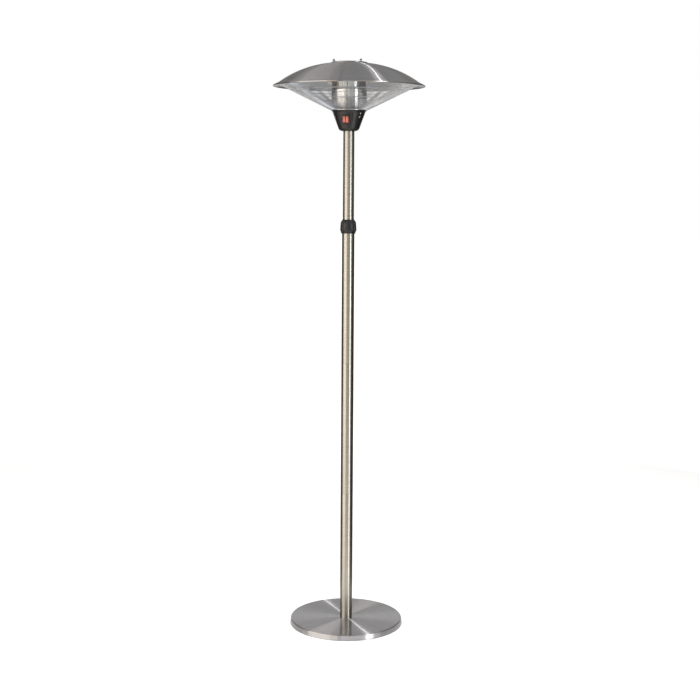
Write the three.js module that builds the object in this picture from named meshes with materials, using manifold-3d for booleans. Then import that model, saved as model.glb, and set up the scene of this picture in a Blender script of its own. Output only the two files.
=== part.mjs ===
// Infrared patio heater tower: a round weighted base, a telescopic pole in three
// screwed sections with a twist collar, and an umbrella head that hangs its ring lamps
// between a polished drum and a wire guard. Millimetres, +Z up, the floor at z = 0,
// the switch facing -Y.

import * as THREE from "three";
import * as BufferGeometryUtils from "three/addons/utils/BufferGeometryUtils.js";
import Module from "manifold-3d";

const wasm = await Module();
wasm.setup();

// ---------------------------------------------------------------- driving dimensions

const GAP = 0.3; // clearance between pieces that seat on each other

// Base
const COVER_T = 1.2;
const COVER_TOP_R = 205.5;
const COVER_FLARE = 3; // how far the side runs outwards on its way down
const COVER_EDGE_R = 3.5; // rounding of the top edge
const WEIGHT_H = 16.9;
const WEIGHT_ROOM = 4.3; // round the iron, inside the cover
const WEIGHT_R = COVER_TOP_R - COVER_T - WEIGHT_ROOM;
const PLATE_T = 1.5;
const PLATE_ROOM = 1.3;
const PLATE_R = COVER_TOP_R - COVER_T - PLATE_ROOM;
const FOOT_R = 11;
const FOOT_H = 1.5;
const FOOT_COUNT = 4;
const FOOT_INSET = 25; // foot centre inside the plate's edge
const FOOT_CIRCLE_R = PLATE_R - FOOT_INSET;
const SOCKET_FLANGE_R = 45;
const SOCKET_FLANGE_T = 4;
const SOCKET_FLOOR = 4; // iron left under the socket flange
const SOCKET_H = 52; // flange underside to spigot top
const SOCKET_WALL = 4;
const SPIGOT_CHAMFER = 2;
const SOCKET_SCREW_R = 3;
const SOCKET_SCREW_CIRCLE_R = 34;
const SOCKET_SCREW_L = 6.4;

// Pole
const SECTION_L = 482.7;
const LOWER_TUBE_R = 22.5;
const UPPER_TUBE_R = 20;
const TUBE_WALL = 1.5;
const CONNECTOR_L = 60;
const CONNECTOR_WALL = 3;
const UPPER_SHOWING = 311.7; // upper tube in view when the head is fully raised
const UPPER_INSIDE = 141; // upper tube left inside the lower one when raised
const UPPER_IN_HOUSING = 50;
const BUSH_FLANGE_H = 10;
const BUSH_PLUG_H = 25;
const BUSH_WALL = 4;

// Clamp sleeve and twist collar
const SLEEVE_SKIRT = 9; // reach of the sleeve down over the lower tube
const SLEEVE_FLANGE_T = 2.7;
const SLEEVE_FLANGE = 1.5; // how far the flange stands out
const SLEEVE_CHAMFER = 1;
const SLEEVE_WALL = 1.7;
const SLEEVE_H = 25; // above the lower tube
const SLEEVE_TAPER = 8;
const SLEEVE_SLITS = 4;
const SLIT_W = 1.6;
const SLIT_L = 18;
const COLLAR_H = 46.5;
const COLLAR_WALL = 4.3;
const COLLAR_FOOT = 7.4; // lower chamfer
const COLLAR_WAIST = 12; // top of the widest band
const COLLAR_SHOULDER = 35.5;
const COLLAR_DRAFT = 1.7; // narrower at the shoulder than at the waist
const COLLAR_CROWN = 3.5; // height of the rounding round the mouth
const COLLAR_CROWN_W = 2.6;
const COLLAR_LIP = 0.6;
const COLLAR_SEAT = 4; // length of the taper that squeezes the sleeve, past its own
const COLLAR_RIBS = 12;
const FLUTE_R = 5;
const FLUTE_DEPTH = 1.7;

// Control housing
const HOUSING_H = 72.5;
const HOUSING_RIM_R = 63;
const HOUSING_THROAT_R = 57.1; // where the cone turns into the flared rim
const HOUSING_THROAT_DROP = 9;
const HOUSING_HEEL_R = 38.2; // where the rounded bottom turns into the cone
const HOUSING_HEEL_H = 12;
const HOUSING_WALL = 2.6;
const GROOVE_R = 2.2;
const GROOVE_DEPTH = 1.1;
const GROOVE_TOP_DROP = 11;
const GROOVE_L = 26;
const BRACKET_FLANGE_R = 55;
const BRACKET_T = 2.4;
const BRACKET_WALL = 2.7;
const BRACKET_SLEEVE_L = 54;
const TAB_W = 14;
const TAB_L = 34;
const HOUSING_SCREW_R = 3.6;
const HOUSING_SCREW_HEAD_H = 2.2;
const HOUSING_SCREW_SHANK_R = 1.6;
const HOUSING_SCREW_L = 7;
const UPPER_SCREW_DROP = 11;
const LOWER_SCREW_DROP = 23.5;
const STATIONS = 3; // screws, tie rods and lamp holders stand at thirds

// Rocker switches
const SWITCH_DROP = 33.5; // switch centre below the housing's rim
const BEZEL_W = 32;
const BEZEL_H = 38;
const BEZEL_PROUD = 1.8;
const BEZEL_SINK = 6; // depth of the bezel before its back is cut to the housing
const SWITCH_BODY_DEPTH = 17;
const SWITCH_WALL = 1.8;
const SWITCH_WEB = 2.2;
const ROCKER_W = 11;
const ROCKER_SWING_R = 13.4;
const ROCKER_PIVOT_DEPTH = 2.5;
const ROCKER_DISH = 0.5; // middle of the rocker's face, in front of the housing
const ROCKER_TIP = 2.8; // ends of the rocker's face, in front of the housing
const ROCKER_BACK = 6.5;
const ROCKER_TILT = 11; // degrees either side of level
const TRUNNION_R = 1.5;
const TRUNNION_L = 0.9;

// Pieces inside the housing
const TERMINAL = { w: 30, d: 15, h: 19 };
const TILT_SWITCH = { w: 13, d: 18, h: 20 };
const INNER_CLEARANCE = 3; // from the bracket sleeve to the pieces beside it

// Cable gland
const GLAND_H = 24; // above the housing's bottom
const GLAND_THREAD_R = 6.5;
const GLAND_HEX_R = 9.5;
const GLAND_HEX_L = 5;
const GLAND_DOME_L = 9;
const GLAND_DOME_R = 7.9;
const GLAND_MOUTH_R = 6.1;
const GLAND_BORE_R = 3.6;
const GLAND_INNER_L = 8;
const GLAND_SEAT = 0.6; // the flat seat stands off the round wall

// Head plate, drum, tie rods
const HEAD_PLATE_R = 64;
const HEAD_PLATE_T = 2;
const WIRE_HOLE_R = 14;
const DRUM_R = 63;
const DRUM_T = 0.8;
const DRUM_H = 150;
const ROD_R = 2.5;
const ROD_CIRCLE_R = 56.5;
const SPACER_WALL = 2.5;
const NUT_R = 4.4;
const NUT_H = 2.8;
const NUT_DOME_H = 2.2;
const NUT_SPACER_H = 3.4;
const NUT_SPACER_WALL = 0.9;

// Dome, reflector and cap: concentric arcs turned about the pole's axis
const ARC_OFFSET = 32.6; // how far the arcs' centre lies from the axis
const REFLECTOR_ARC_R = 364.4; // inner face
const REFLECTOR_T = 0.8;
const REFLECTOR_HEM = 7;
const SKIN_GAP = 8;
const DOME_R = 270;
const DOME_T = 1;
const DOME_LIP_W = 20; // the flatter lip outside the arc
const DOME_ARC_END_R = DOME_R - DOME_LIP_W;
const RIM_TO_REFLECTOR = 30; // from the dome's rim in to the reflector's hem
const REFLECTOR_EDGE_R = DOME_R - RIM_TO_REFLECTOR;
const DOME_LIP_DROP = 9.5;
const DOME_HEM_T = 2; // the rim folded back on itself
const DOME_HEM_ROUND = 0.5;
const DOME_HEM_H = 3.2;
const TOP_HOLE_R = 50;
const CAP_R = 66;
const CAP_FLAT_R = 60;
const CAP_RISE = 3.2;
const CAP_T = 1;

// Guard
const GUARD_WIRES = 40;
const GUARD_WIRE_R = 0.95;
const GUARD_RING_R = 1.4;
const GUARD_TOP_RING_R = 1.8;
const RIM_TO_GUARD = 27; // from the dome's rim in to the guard's top ring
const GUARD_EDGE_R = DOME_R - RIM_TO_GUARD;
const GUARD_RING_RADII = [142, 200];
const GUARD_BAND_T = 1.3;
const GUARD_BAND_H = 5.4;
const GUARD_SHELF = 5;
const GUARD_SHELF_T = 1;
const GUARD_WELD = 0.5; // how far welded wires sink into each other

// Ring lamps
const LAMP_CIRCLE_R = 98;
const LAMP_R = 5;
const LAMP_DROPS = [28, 46]; // below the drum's top
const LAMP_OPENING = 18; // degrees left for the terminal
const LAMP_PLAY = 0.7; // room round a lamp in its holder, for its heat
const HOLDER_T = 4;
const HOLDER_MARGIN = 4.5;
const HOLDER_PAST_LAMP = 1;
const HOLDER_WEB = 2; // metal left beside each lamp's notch
const HOLDER_NOTCH = 7;
const HOLDER_LIP = 0.8; // how far the notch's mouth is narrower than the lamp, each side
const LAMP_TERMINAL_W = 26;
const LAMP_TERMINAL_WALL = 2;

// Facets
const SEG_BIG = 40;
const SEG_MID = 32;
const SEG = 24;
const SEG_HIDDEN = 16;
const SEG_SMALL = 12;
const SEG_FINE = 8;
const DOME_STEPS = 4; // from the drum's edge out to the lip
const REFLECTOR_STEPS = 3;
const LAMP_STEPS = 30;
const PAST = 10; // how far a cutter reaches past what it cuts

// ---------------------------------------------------------------- derived heights

const PLATE_Z = FOOT_H + GAP;
const WEIGHT_Z = PLATE_Z + PLATE_T + GAP;
const COVER_UNDER_Z = WEIGHT_Z + WEIGHT_H + GAP;
const BASE_TOP_Z = COVER_UNDER_Z + COVER_T;
const SOCKET_Z = WEIGHT_Z + SOCKET_FLOOR + GAP;
const TUBE_Z = [0, 1, 2].map((n) => SOCKET_Z + SOCKET_FLANGE_T + GAP + n * (SECTION_L + GAP));
const LOWER_TOP_Z = TUBE_Z[2] + SECTION_L;
const LOWER_BORE_R = LOWER_TUBE_R - TUBE_WALL;
const SLEEVE_Z = LOWER_TOP_Z - SLEEVE_SKIRT - SLEEVE_FLANGE_T;
const SLEEVE_R = LOWER_TUBE_R + GAP + SLEEVE_WALL;
const COLLAR_Z = SLEEVE_Z + SLEEVE_FLANGE_T + GAP;
const COLLAR_TOP_Z = COLLAR_Z + COLLAR_H;
const HOUSING_Z = COLLAR_TOP_Z + UPPER_SHOWING;
const RIM_Z = HOUSING_Z + HOUSING_H;
const UPPER_Z = LOWER_TOP_Z - UPPER_INSIDE;
const UPPER_TOP_Z = HOUSING_Z + UPPER_IN_HOUSING;
const HEAD_PLATE_Z = RIM_Z + GAP;
const SHELF_Z = HEAD_PLATE_Z + HEAD_PLATE_T + GAP;
const DRUM_Z = SHELF_Z + GUARD_SHELF_T + GAP;
const DRUM_TOP_Z = DRUM_Z + DRUM_H;
const ROD_Z = HEAD_PLATE_Z + HEAD_PLATE_T + GAP;
const ARC_Z = DRUM_TOP_Z + GAP - arcHeight(REFLECTOR_ARC_R, DRUM_R);
const REFLECTOR_OUTER_ARC_R = REFLECTOR_ARC_R + REFLECTOR_T;
const DOME_INNER_ARC_R = REFLECTOR_OUTER_ARC_R + SKIN_GAP;
const DOME_ARC_R = DOME_INNER_ARC_R + DOME_T;
const CAP_EDGE_Z = ARC_Z + arcHeight(DOME_ARC_R, CAP_R) + GAP;
const CAP_TOP_Z = CAP_EDGE_Z + CAP_RISE + CAP_T;
const HEM_Z = ARC_Z + arcHeight(REFLECTOR_ARC_R, REFLECTOR_EDGE_R) - REFLECTOR_T;
const GUARD_TOP_Z = HEM_Z - GAP - GUARD_TOP_RING_R;

// Height of an arc of the given radius over its own centre, at a distance from the axis.
function arcHeight(arcR, r) {
  return Math.sqrt(arcR ** 2 - (r - ARC_OFFSET) ** 2);
}

// ---------------------------------------------------------------- solids

// A closed three.js geometry as a solid, whichever way its triangles were wound.
function solid(geometry) {
  const bare = geometry.index ? geometry.toNonIndexed() : geometry.clone();
  bare.deleteAttribute("normal");
  bare.deleteAttribute("uv");
  const merged = BufferGeometryUtils.mergeVertices(bare, 1e-4);
  const position = merged.attributes.position;
  const index = merged.index.array;
  const kept = [];
  let volume = 0;
  const [a, b, c] = [new THREE.Vector3(), new THREE.Vector3(), new THREE.Vector3()];
  for (let i = 0; i < index.length; i += 3) {
    const [p, q, r] = [index[i], index[i + 1], index[i + 2]];
    if (p === q || q === r || r === p) continue;
    kept.push(p, q, r);
    a.fromBufferAttribute(position, p);
    b.fromBufferAttribute(position, q);
    c.fromBufferAttribute(position, r);
    volume += a.dot(b.cross(c));
  }
  if (volume < 0) kept.reverse();
  return new wasm.Manifold(new wasm.Mesh({
    numProp: 3,
    vertProperties: new Float32Array(position.array),
    triVerts: new Uint32Array(kept),
  }));
}

// Turns a closed outline of [radius, height] points about the Z axis.
function turned(outline, segments = SEG) {
  const points = outline.map(([r, z]) => new THREE.Vector2(Math.max(r, 0), z));
  const [first, last] = [points[0], points[points.length - 1]];
  const onAxis = first.x === 0 && last.x === 0;
  if (!onAxis) points.push(first.clone());
  return solid(new THREE.LatheGeometry(points, segments).rotateX(Math.PI / 2));
}

function pipe(inner, outer, z0, z1, segments = SEG) {
  return turned([[inner, z0], [outer, z0], [outer, z1], [inner, z1]], segments);
}

function rod(radius, z0, z1, segments = SEG_SMALL) {
  return turned([[0, z0], [radius, z0], [radius, z1], [0, z1]], segments);
}

function box(w, d, h, x = 0, y = 0, z = 0) {
  return solid(new THREE.BoxGeometry(w, d, h).translate(x, y, z));
}

// A rod along Y, from y0 to y1.
function crossRod(radius, y0, y1, segments = SEG_SMALL) {
  return rod(radius, y0, y1, segments).rotate([-90, 0, 0]);
}

// Points of an arc about the shared centre: the top hole's edge, then from the drum
// outwards in even steps, so that what seats over the drum meets a point of the arc.
function arcPoints(arcR, edgeR, steps) {
  const radii = Array.from({ length: steps + 1 }, (_, i) => DRUM_R + ((edgeR - DRUM_R) * i) / steps);
  return [TOP_HOLE_R, ...radii].map((r) => [r, ARC_Z + arcHeight(arcR, r)]);
}

// The three stations: at 60 degrees either side of the switch, and behind.
function stationAngles() {
  return Array.from({ length: STATIONS }, (_, i) => (360 / STATIONS) * (i + 0.5));
}

// Turns a solid built at the switch's side (-Y) to an angle round the pole.
function atAngle(part, degrees) {
  return part.rotate([0, 0, degrees]);
}

// ---------------------------------------------------------------- materials

function finish(color, roughness, metalness, more = {}) {
  return new THREE.MeshStandardMaterial({ color, roughness, metalness, ...more });
}

const brushedSteel = finish(0x8f8d8b, 0.34, 1);
const polishedSteel = finish(0xc9c7c2, 0.16, 1);
const wireChrome = finish(0x9aa0a4, 0.22, 1);
const castIron = finish(0x3a3a3a, 0.8, 0.6);
const zincSteel = finish(0xa8a9a6, 0.4, 1);
const blackPlastic = finish(0x1d1c1e, 0.48, 0);
const redRocker = finish(0xe0443c, 0.25, 0, { transparent: true, opacity: 0.9 });
const rubber = finish(0x161616, 0.9, 0);
const quartz = finish(0xe8c58a, 0.08, 0, { transparent: true, opacity: 0.6 });
const ceramic = finish(0xe9e4d8, 0.6, 0);
const nylon = finish(0xd9d6cc, 0.5, 0);

const tower = new THREE.Group();
tower.name = "patio_heater_tower";

function subPart(group, name, part, material) {
  const { vertProperties, triVerts } = part.getMesh();
  const geometry = new THREE.BufferGeometry();
  geometry.setAttribute("position", new THREE.BufferAttribute(vertProperties, 3));
  geometry.setIndex(new THREE.BufferAttribute(triVerts, 1));
  geometry.computeVertexNormals();
  const mesh = new THREE.Mesh(geometry, material);
  mesh.name = name;
  group.add(mesh);
  return mesh;
}

// ---------------------------------------------------------------- base

// A point and height on the cover's skin, set in by an offset from its outer face.
function coverOutline(inset) {
  const top = BASE_TOP_Z - inset;
  const edge = COVER_EDGE_R - inset;
  const corner = COVER_TOP_R - COVER_EDGE_R;
  const steps = 2;
  const round = Array.from({ length: steps + 1 }, (_, i) => {
    const a = (Math.PI / 2) * (i / steps);
    return [corner + edge * Math.sin(a), top - edge + edge * Math.cos(a)];
  });
  return [...round, [COVER_TOP_R + COVER_FLARE - inset, FOOT_H]];
}

function baseCover() {
  const hole = LOWER_TUBE_R + GAP;
  const outer = [[hole, BASE_TOP_Z], ...coverOutline(0)];
  const inner = [[hole, BASE_TOP_Z - COVER_T], ...coverOutline(COVER_T)];
  return turned([...outer, ...inner.reverse()], SEG_BIG);
}

function baseWeight() {
  const recess = SOCKET_FLANGE_R + GAP;
  const top = WEIGHT_Z + WEIGHT_H;
  let weight = turned([
    [0, WEIGHT_Z], [WEIGHT_R, WEIGHT_Z], [WEIGHT_R, top], [recess, top],
    [recess, WEIGHT_Z + SOCKET_FLOOR], [0, WEIGHT_Z + SOCKET_FLOOR],
  ], SEG_BIG);
  for (const angle of stationAngles()) {
    const hole = rod(SOCKET_SCREW_R + GAP, WEIGHT_Z - 1, SOCKET_Z)
      .translate([0, -SOCKET_SCREW_CIRCLE_R, 0]);
    weight = weight.subtract(atAngle(hole, angle));
  }
  return weight;
}

function poleSocket() {
  const spigot = LOWER_BORE_R - GAP;
  const flangeTop = SOCKET_Z + SOCKET_FLANGE_T;
  let socket = turned([
    [spigot - SOCKET_WALL, SOCKET_Z], [SOCKET_FLANGE_R, SOCKET_Z], [SOCKET_FLANGE_R, flangeTop],
    [spigot, flangeTop], [spigot, SOCKET_Z + SOCKET_H - SPIGOT_CHAMFER],
    [spigot - SPIGOT_CHAMFER, SOCKET_Z + SOCKET_H],
    [spigot - SOCKET_WALL, SOCKET_Z + SOCKET_H],
  ], SEG_HIDDEN);
  for (const angle of stationAngles()) {
    const hole = rod(SOCKET_SCREW_R + GAP, SOCKET_Z - 1, flangeTop + 1)
      .translate([0, -SOCKET_SCREW_CIRCLE_R, 0]);
    socket = socket.subtract(atAngle(hole, angle));
  }
  return socket;
}

function socketScrew() {
  const seat = SOCKET_Z + SOCKET_FLANGE_T + GAP;
  const head = rod(SOCKET_SCREW_R * 1.8, seat, seat + SOCKET_SCREW_R, 6);
  const shank = rod(SOCKET_SCREW_R, seat - SOCKET_SCREW_L, seat + 1);
  return head.add(shank).translate([0, -SOCKET_SCREW_CIRCLE_R, 0]);
}

function buildBase() {
  const base = new THREE.Group();
  subPart(base, "base_cover", baseCover(), brushedSteel);
  subPart(base, "base_weight", baseWeight(), castIron);
  subPart(base, "base_plate", rod(PLATE_R, PLATE_Z, PLATE_Z + PLATE_T, SEG_BIG), zincSteel);
  for (let i = 0; i < FOOT_COUNT; i += 1) {
    const foot = rod(FOOT_R, 0, FOOT_H, SEG_SMALL).translate([0, -FOOT_CIRCLE_R, 0]);
    const angle = (360 / FOOT_COUNT) * (i + 0.5);
    subPart(base, `foot_${i + 1}`, atAngle(foot, angle), rubber);
  }
  subPart(base, "pole_socket", poleSocket(), zincSteel);
  stationAngles().forEach((angle, i) => {
    subPart(base, `socket_screw_${i + 1}`, atAngle(socketScrew(), angle), zincSteel);
  });
  return base;
}

// ---------------------------------------------------------------- pole

function clampSleeve() {
  const grip = UPPER_TUBE_R + GAP;
  const top = LOWER_TOP_Z + SLEEVE_H;
  const flange = SLEEVE_R + SLEEVE_FLANGE;
  let sleeve = turned([
    [LOWER_TUBE_R + GAP, SLEEVE_Z], [flange - SLEEVE_CHAMFER, SLEEVE_Z],
    [flange, SLEEVE_Z + SLEEVE_CHAMFER],
    [flange, SLEEVE_Z + SLEEVE_FLANGE_T], [SLEEVE_R, SLEEVE_Z + SLEEVE_FLANGE_T],
    [SLEEVE_R, top - SLEEVE_TAPER], [grip + SLEEVE_CHAMFER, top], [grip, top],
    [grip, LOWER_TOP_Z + GAP], [LOWER_TUBE_R + GAP, LOWER_TOP_Z + GAP],
  ]);
  for (let i = 0; i < SLEEVE_SLITS; i += 1) {
    const slit = box(SLIT_W, SLEEVE_R * 2, SLIT_L * 2, 0, -SLEEVE_R, top);
    sleeve = sleeve.subtract(atAngle(slit, (360 / SLEEVE_SLITS) * i));
  }
  return sleeve;
}

function twistCollar() {
  const bore = SLEEVE_R + GAP;
  const wide = bore + COLLAR_WALL;
  const mouth = UPPER_TUBE_R + GAP;
  const innerTop = SLEEVE_H + SLEEVE_SKIRT - SLEEVE_TAPER;
  const outline = [
    [bore, 0], [bore + COLLAR_LIP, 0], [wide, COLLAR_FOOT], [wide, COLLAR_WAIST],
    [wide - COLLAR_DRAFT, COLLAR_SHOULDER], [mouth + COLLAR_CROWN_W, COLLAR_H - COLLAR_CROWN],
    [mouth + COLLAR_LIP, COLLAR_H], [mouth, COLLAR_H],
    [mouth, innerTop + SLEEVE_TAPER + COLLAR_SEAT], [bore, innerTop + GAP],
  ].map(([r, z]) => [r, COLLAR_Z + z]);
  let collar = turned(outline, COLLAR_RIBS * 2);
  for (let i = 0; i < COLLAR_RIBS; i += 1) {
    const flute = rod(FLUTE_R, COLLAR_Z - 1, COLLAR_TOP_Z, SEG_FINE)
      .translate([0, -(wide + FLUTE_R - FLUTE_DEPTH), 0]);
    collar = collar.subtract(atAngle(flute, (360 / COLLAR_RIBS) * i));
  }
  return collar;
}

function guideBush() {
  const plug = UPPER_TUBE_R - TUBE_WALL - GAP;
  const top = UPPER_Z - GAP;
  return turned([
    [plug - BUSH_WALL, top - BUSH_FLANGE_H], [LOWER_BORE_R - GAP, top - BUSH_FLANGE_H],
    [LOWER_BORE_R - GAP, top], [plug, top], [plug, top + BUSH_PLUG_H],
    [plug - BUSH_WALL, top + BUSH_PLUG_H],
  ], SEG_HIDDEN);
}

function buildPole() {
  const pole = new THREE.Group();
  const inner = LOWER_BORE_R - GAP;
  TUBE_Z.forEach((z, i) => {
    const tube = pipe(LOWER_BORE_R, LOWER_TUBE_R, z, z + SECTION_L);
    subPart(pole, `lower_tube_${i + 1}`, tube, brushedSteel);
    if (i === 0) return;
    const middle = z - GAP / 2;
    const sleeve = pipe(inner - CONNECTOR_WALL, inner, middle - CONNECTOR_L / 2,
      middle + CONNECTOR_L / 2, SEG_HIDDEN);
    subPart(pole, `tube_connector_${i}`, sleeve, zincSteel);
  });
  subPart(pole, "clamp_sleeve", clampSleeve(), blackPlastic);
  subPart(pole, "twist_collar", twistCollar(), blackPlastic);
  subPart(pole, "guide_bush", guideBush(), nylon);
  const upper = pipe(UPPER_TUBE_R - TUBE_WALL, UPPER_TUBE_R, UPPER_Z, UPPER_TOP_Z);
  subPart(pole, "upper_tube", upper, brushedSteel);
  return pole;
}

// ---------------------------------------------------------------- control housing

// The housing's side from the bottom up: a rounded heel, a straight cone, a flared rim.
function housingSide(inset) {
  const heelZ = HOUSING_Z + HOUSING_HEEL_H;
  const throatZ = RIM_Z - HOUSING_THROAT_DROP;
  const side = new THREE.Path();
  side.moveTo(UPPER_TUBE_R + 2, HOUSING_Z);
  side.quadraticCurveTo(HOUSING_HEEL_R - 3, HOUSING_Z + 1.5, HOUSING_HEEL_R, heelZ);
  side.lineTo(HOUSING_THROAT_R, throatZ);
  // the flare leaves the cone in the cone's own direction
  const lead = HOUSING_THROAT_DROP * 0.6;
  const slope = (HOUSING_THROAT_R - HOUSING_HEEL_R) / (throatZ - heelZ);
  side.quadraticCurveTo(HOUSING_THROAT_R + lead * slope, throatZ + lead, HOUSING_RIM_R, RIM_Z);
  return side.getPoints(3).map((p, i) => [
    p.x - (i === 0 ? 0 : inset), i < 2 ? p.y + inset * (1 - i / 2) : p.y,
  ]);
}

const CONE_TILT = THREE.MathUtils.radToDeg(Math.atan2(
  HOUSING_THROAT_R - HOUSING_HEEL_R, HOUSING_H - HOUSING_THROAT_DROP - HOUSING_HEEL_H,
));

// Radius of the cone's outer face at a height.
function coneR(z) {
  const slope = Math.tan(THREE.MathUtils.degToRad(CONE_TILT));
  return HOUSING_HEEL_R + (z - HOUSING_Z - HOUSING_HEEL_H) * slope;
}

// Puts a solid built round the origin, facing -Y, flat on the cone at a height and angle.
function onCone(part, z, degrees = 0) {
  return atAngle(part.rotate([CONE_TILT, 0, 0]).translate([0, -coneR(z), z]), degrees);
}

function housingSolid(grow) {
  const side = housingSide(-grow);
  return turned([[0, HOUSING_Z - grow], ...side, [0, RIM_Z]], SEG_MID);
}

function switchOpening() {
  const { halfW, halfH } = switchBody();
  return box(2 * (halfW + GAP), 2 * PAST, 2 * (halfH + GAP));
}

function controlHousing() {
  const hole = UPPER_TUBE_R + GAP;
  const outer = housingSide(0);
  const inner = housingSide(HOUSING_WALL).reverse();
  let housing = turned([[hole, HOUSING_Z], ...outer, ...inner.slice(0, -1),
    [hole, HOUSING_Z + HOUSING_WALL]], SEG_MID);
  housing = housing.subtract(onCone(switchOpening(), RIM_Z - SWITCH_DROP));
  const grooveZ = RIM_Z - GROOVE_TOP_DROP - GROOVE_L / 2;
  const groove = rod(GROOVE_R, -GROOVE_L / 2, GROOVE_L / 2, 6)
    .translate([0, -(GROOVE_R - GROOVE_DEPTH), 0]);
  for (const angle of [30, 90, 120, 150, 210, 240, 270, 330]) {
    housing = housing.subtract(onCone(groove, grooveZ, angle));
  }
  for (const angle of stationAngles()) {
    for (const drop of [UPPER_SCREW_DROP, LOWER_SCREW_DROP]) {
      const hole = crossRod(HOUSING_SCREW_SHANK_R + GAP, -PAST, PAST, SEG_FINE);
      housing = housing.subtract(onCone(hole, RIM_Z - drop, angle));
    }
  }
  const glandHole = crossRod(GLAND_THREAD_R + GAP, -PAST, PAST);
  return housing.subtract(onCone(glandHole, HOUSING_Z + GLAND_H, 180));
}

// The steel bracket that joins the upper tube to the head plate and holds the housing.
function mastBracket() {
  const bore = UPPER_TUBE_R + GAP;
  const top = HEAD_PLATE_Z - GAP;
  let bracket = turned([
    [bore, top - BRACKET_SLEEVE_L], [bore + BRACKET_WALL, top - BRACKET_SLEEVE_L],
    [bore + BRACKET_WALL, top - BRACKET_T], [BRACKET_FLANGE_R, top - BRACKET_T],
    [BRACKET_FLANGE_R, top], [bore, top],
  ], SEG);
  const tab = box(TAB_W, BRACKET_T, TAB_L);
  const middle = top - 1 - TAB_L / 2;
  // the flat tab's edges come nearest to the round wall at the tab's lower end
  const wallR = coneR(middle - TAB_L / 2) - HOUSING_WALL;
  const inward = HOUSING_WALL + GAP + wallR - Math.sqrt(wallR ** 2 - (TAB_W / 2) ** 2)
    + BRACKET_T / 2;
  for (const angle of stationAngles()) {
    bracket = bracket.add(onCone(tab.translate([0, inward, 0]), middle, angle));
    for (const drop of [UPPER_SCREW_DROP, LOWER_SCREW_DROP]) {
      const hole = crossRod(HOUSING_SCREW_SHANK_R + GAP, 0, PAST, SEG_FINE);
      bracket = bracket.subtract(onCone(hole, RIM_Z - drop, angle));
    }
  }
  return bracket;
}

function housingScrew() {
  const head = crossRod(HOUSING_SCREW_R, -GAP - HOUSING_SCREW_HEAD_H, -GAP, 12);
  const shank = crossRod(HOUSING_SCREW_SHANK_R, -GAP - 1, HOUSING_SCREW_L, SEG_FINE);
  return head.add(shank);
}

function cableGland() {
  const seat = GAP + GLAND_SEAT;
  const nutTop = seat + GLAND_HEX_L;
  const hex = rod(GLAND_HEX_R, seat, nutTop, 6);
  const dome = turned([
    [0, nutTop - 1], [GLAND_DOME_R, nutTop - 1], [GLAND_DOME_R, nutTop + GLAND_DOME_L / 2],
    [GLAND_MOUTH_R, nutTop + GLAND_DOME_L], [0, nutTop + GLAND_DOME_L],
  ], SEG_SMALL);
  const thread = rod(GLAND_THREAD_R, -GLAND_INNER_L, seat + 1);
  const bore = rod(GLAND_BORE_R, -GLAND_INNER_L - 1, nutTop + GLAND_DOME_L + 1);
  return hex.add(dome).add(thread).subtract(bore).rotate([90, 0, 0]);
}

// ---------------------------------------------------------------- rocker switches

// Half sizes of the switch body and its two pockets, from the rockers' size.
function switchBody() {
  const pocketW = ROCKER_W + 2 * GAP;
  const pocketH = 2 * (ROCKER_SWING_R + GAP);
  return {
    pocketW,
    pocketH,
    middle: (SWITCH_WEB + pocketW) / 2,
    halfW: SWITCH_WEB / 2 + pocketW + SWITCH_WALL,
    halfH: pocketH / 2 + SWITCH_WALL,
  };
}

function switchBezel() {
  const { pocketW, pocketH, middle, halfW, halfH } = switchBody();
  const plate = box(BEZEL_W, BEZEL_PROUD + BEZEL_SINK, BEZEL_H, 0, (BEZEL_SINK - BEZEL_PROUD) / 2, 0);
  const z = RIM_Z - SWITCH_DROP;
  let bezel = onCone(plate, z).subtract(housingSolid(GAP));
  const body = box(2 * halfW, SWITCH_BODY_DEPTH, 2 * halfH, 0, SWITCH_BODY_DEPTH / 2, 0);
  bezel = bezel.add(onCone(body, z));
  const depth = ROCKER_PIVOT_DEPTH + ROCKER_SWING_R * 0.6;
  const bearing = rod(TRUNNION_R + GAP, -ROCKER_W / 2 - TRUNNION_L - 0.4,
    ROCKER_W / 2 + TRUNNION_L + 0.4, 12).rotate([0, 90, 0]).translate([0, ROCKER_PIVOT_DEPTH, 0]);
  const pocket = box(pocketW, depth + PAST, pocketH, 0, (depth - PAST) / 2, 0).add(bearing);
  for (const side of [-1, 1]) {
    bezel = bezel.subtract(onCone(pocket.translate([side * middle, 0, 0]), z));
  }
  return bezel;
}

function rocker(side) {
  const swing = ROCKER_SWING_R;
  const pivot = ROCKER_PIVOT_DEPTH;
  const frontAngle = Math.asin((pivot + ROCKER_TIP) / swing);
  const backAngle = Math.asin((ROCKER_BACK - pivot) / swing);
  const outline = new THREE.Shape();
  outline.moveTo(0, ROCKER_DISH);
  outline.absarc(0, -pivot, swing, frontAngle, -backAngle, true);
  outline.absarc(0, -pivot, swing, Math.PI + backAngle, Math.PI - frontAngle, true);
  const slab = new THREE.ExtrudeGeometry(outline, {
    depth: ROCKER_W, bevelEnabled: false, curveSegments: 4,
  }).translate(0, 0, -ROCKER_W / 2);
  // the outline's x runs up the housing and its y outwards
  const body = solid(slab).transform([0, 0, 1, 0, 0, -1, 0, 0, 1, 0, 0, 0, 0, 0, 0, 1]);
  const trunnion = rod(TRUNNION_R, -ROCKER_W / 2 - TRUNNION_L, ROCKER_W / 2 + TRUNNION_L, 12)
    .rotate([0, 90, 0]).translate([0, pivot, 0]);
  const level = body.add(trunnion);
  const pressed = level.translate([0, -pivot, 0]).rotate([-ROCKER_TILT, 0, 0])
    .translate([0, pivot, 0]);
  return onCone(pressed.translate([side * switchBody().middle, 0, 0]), RIM_Z - SWITCH_DROP);
}

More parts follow.
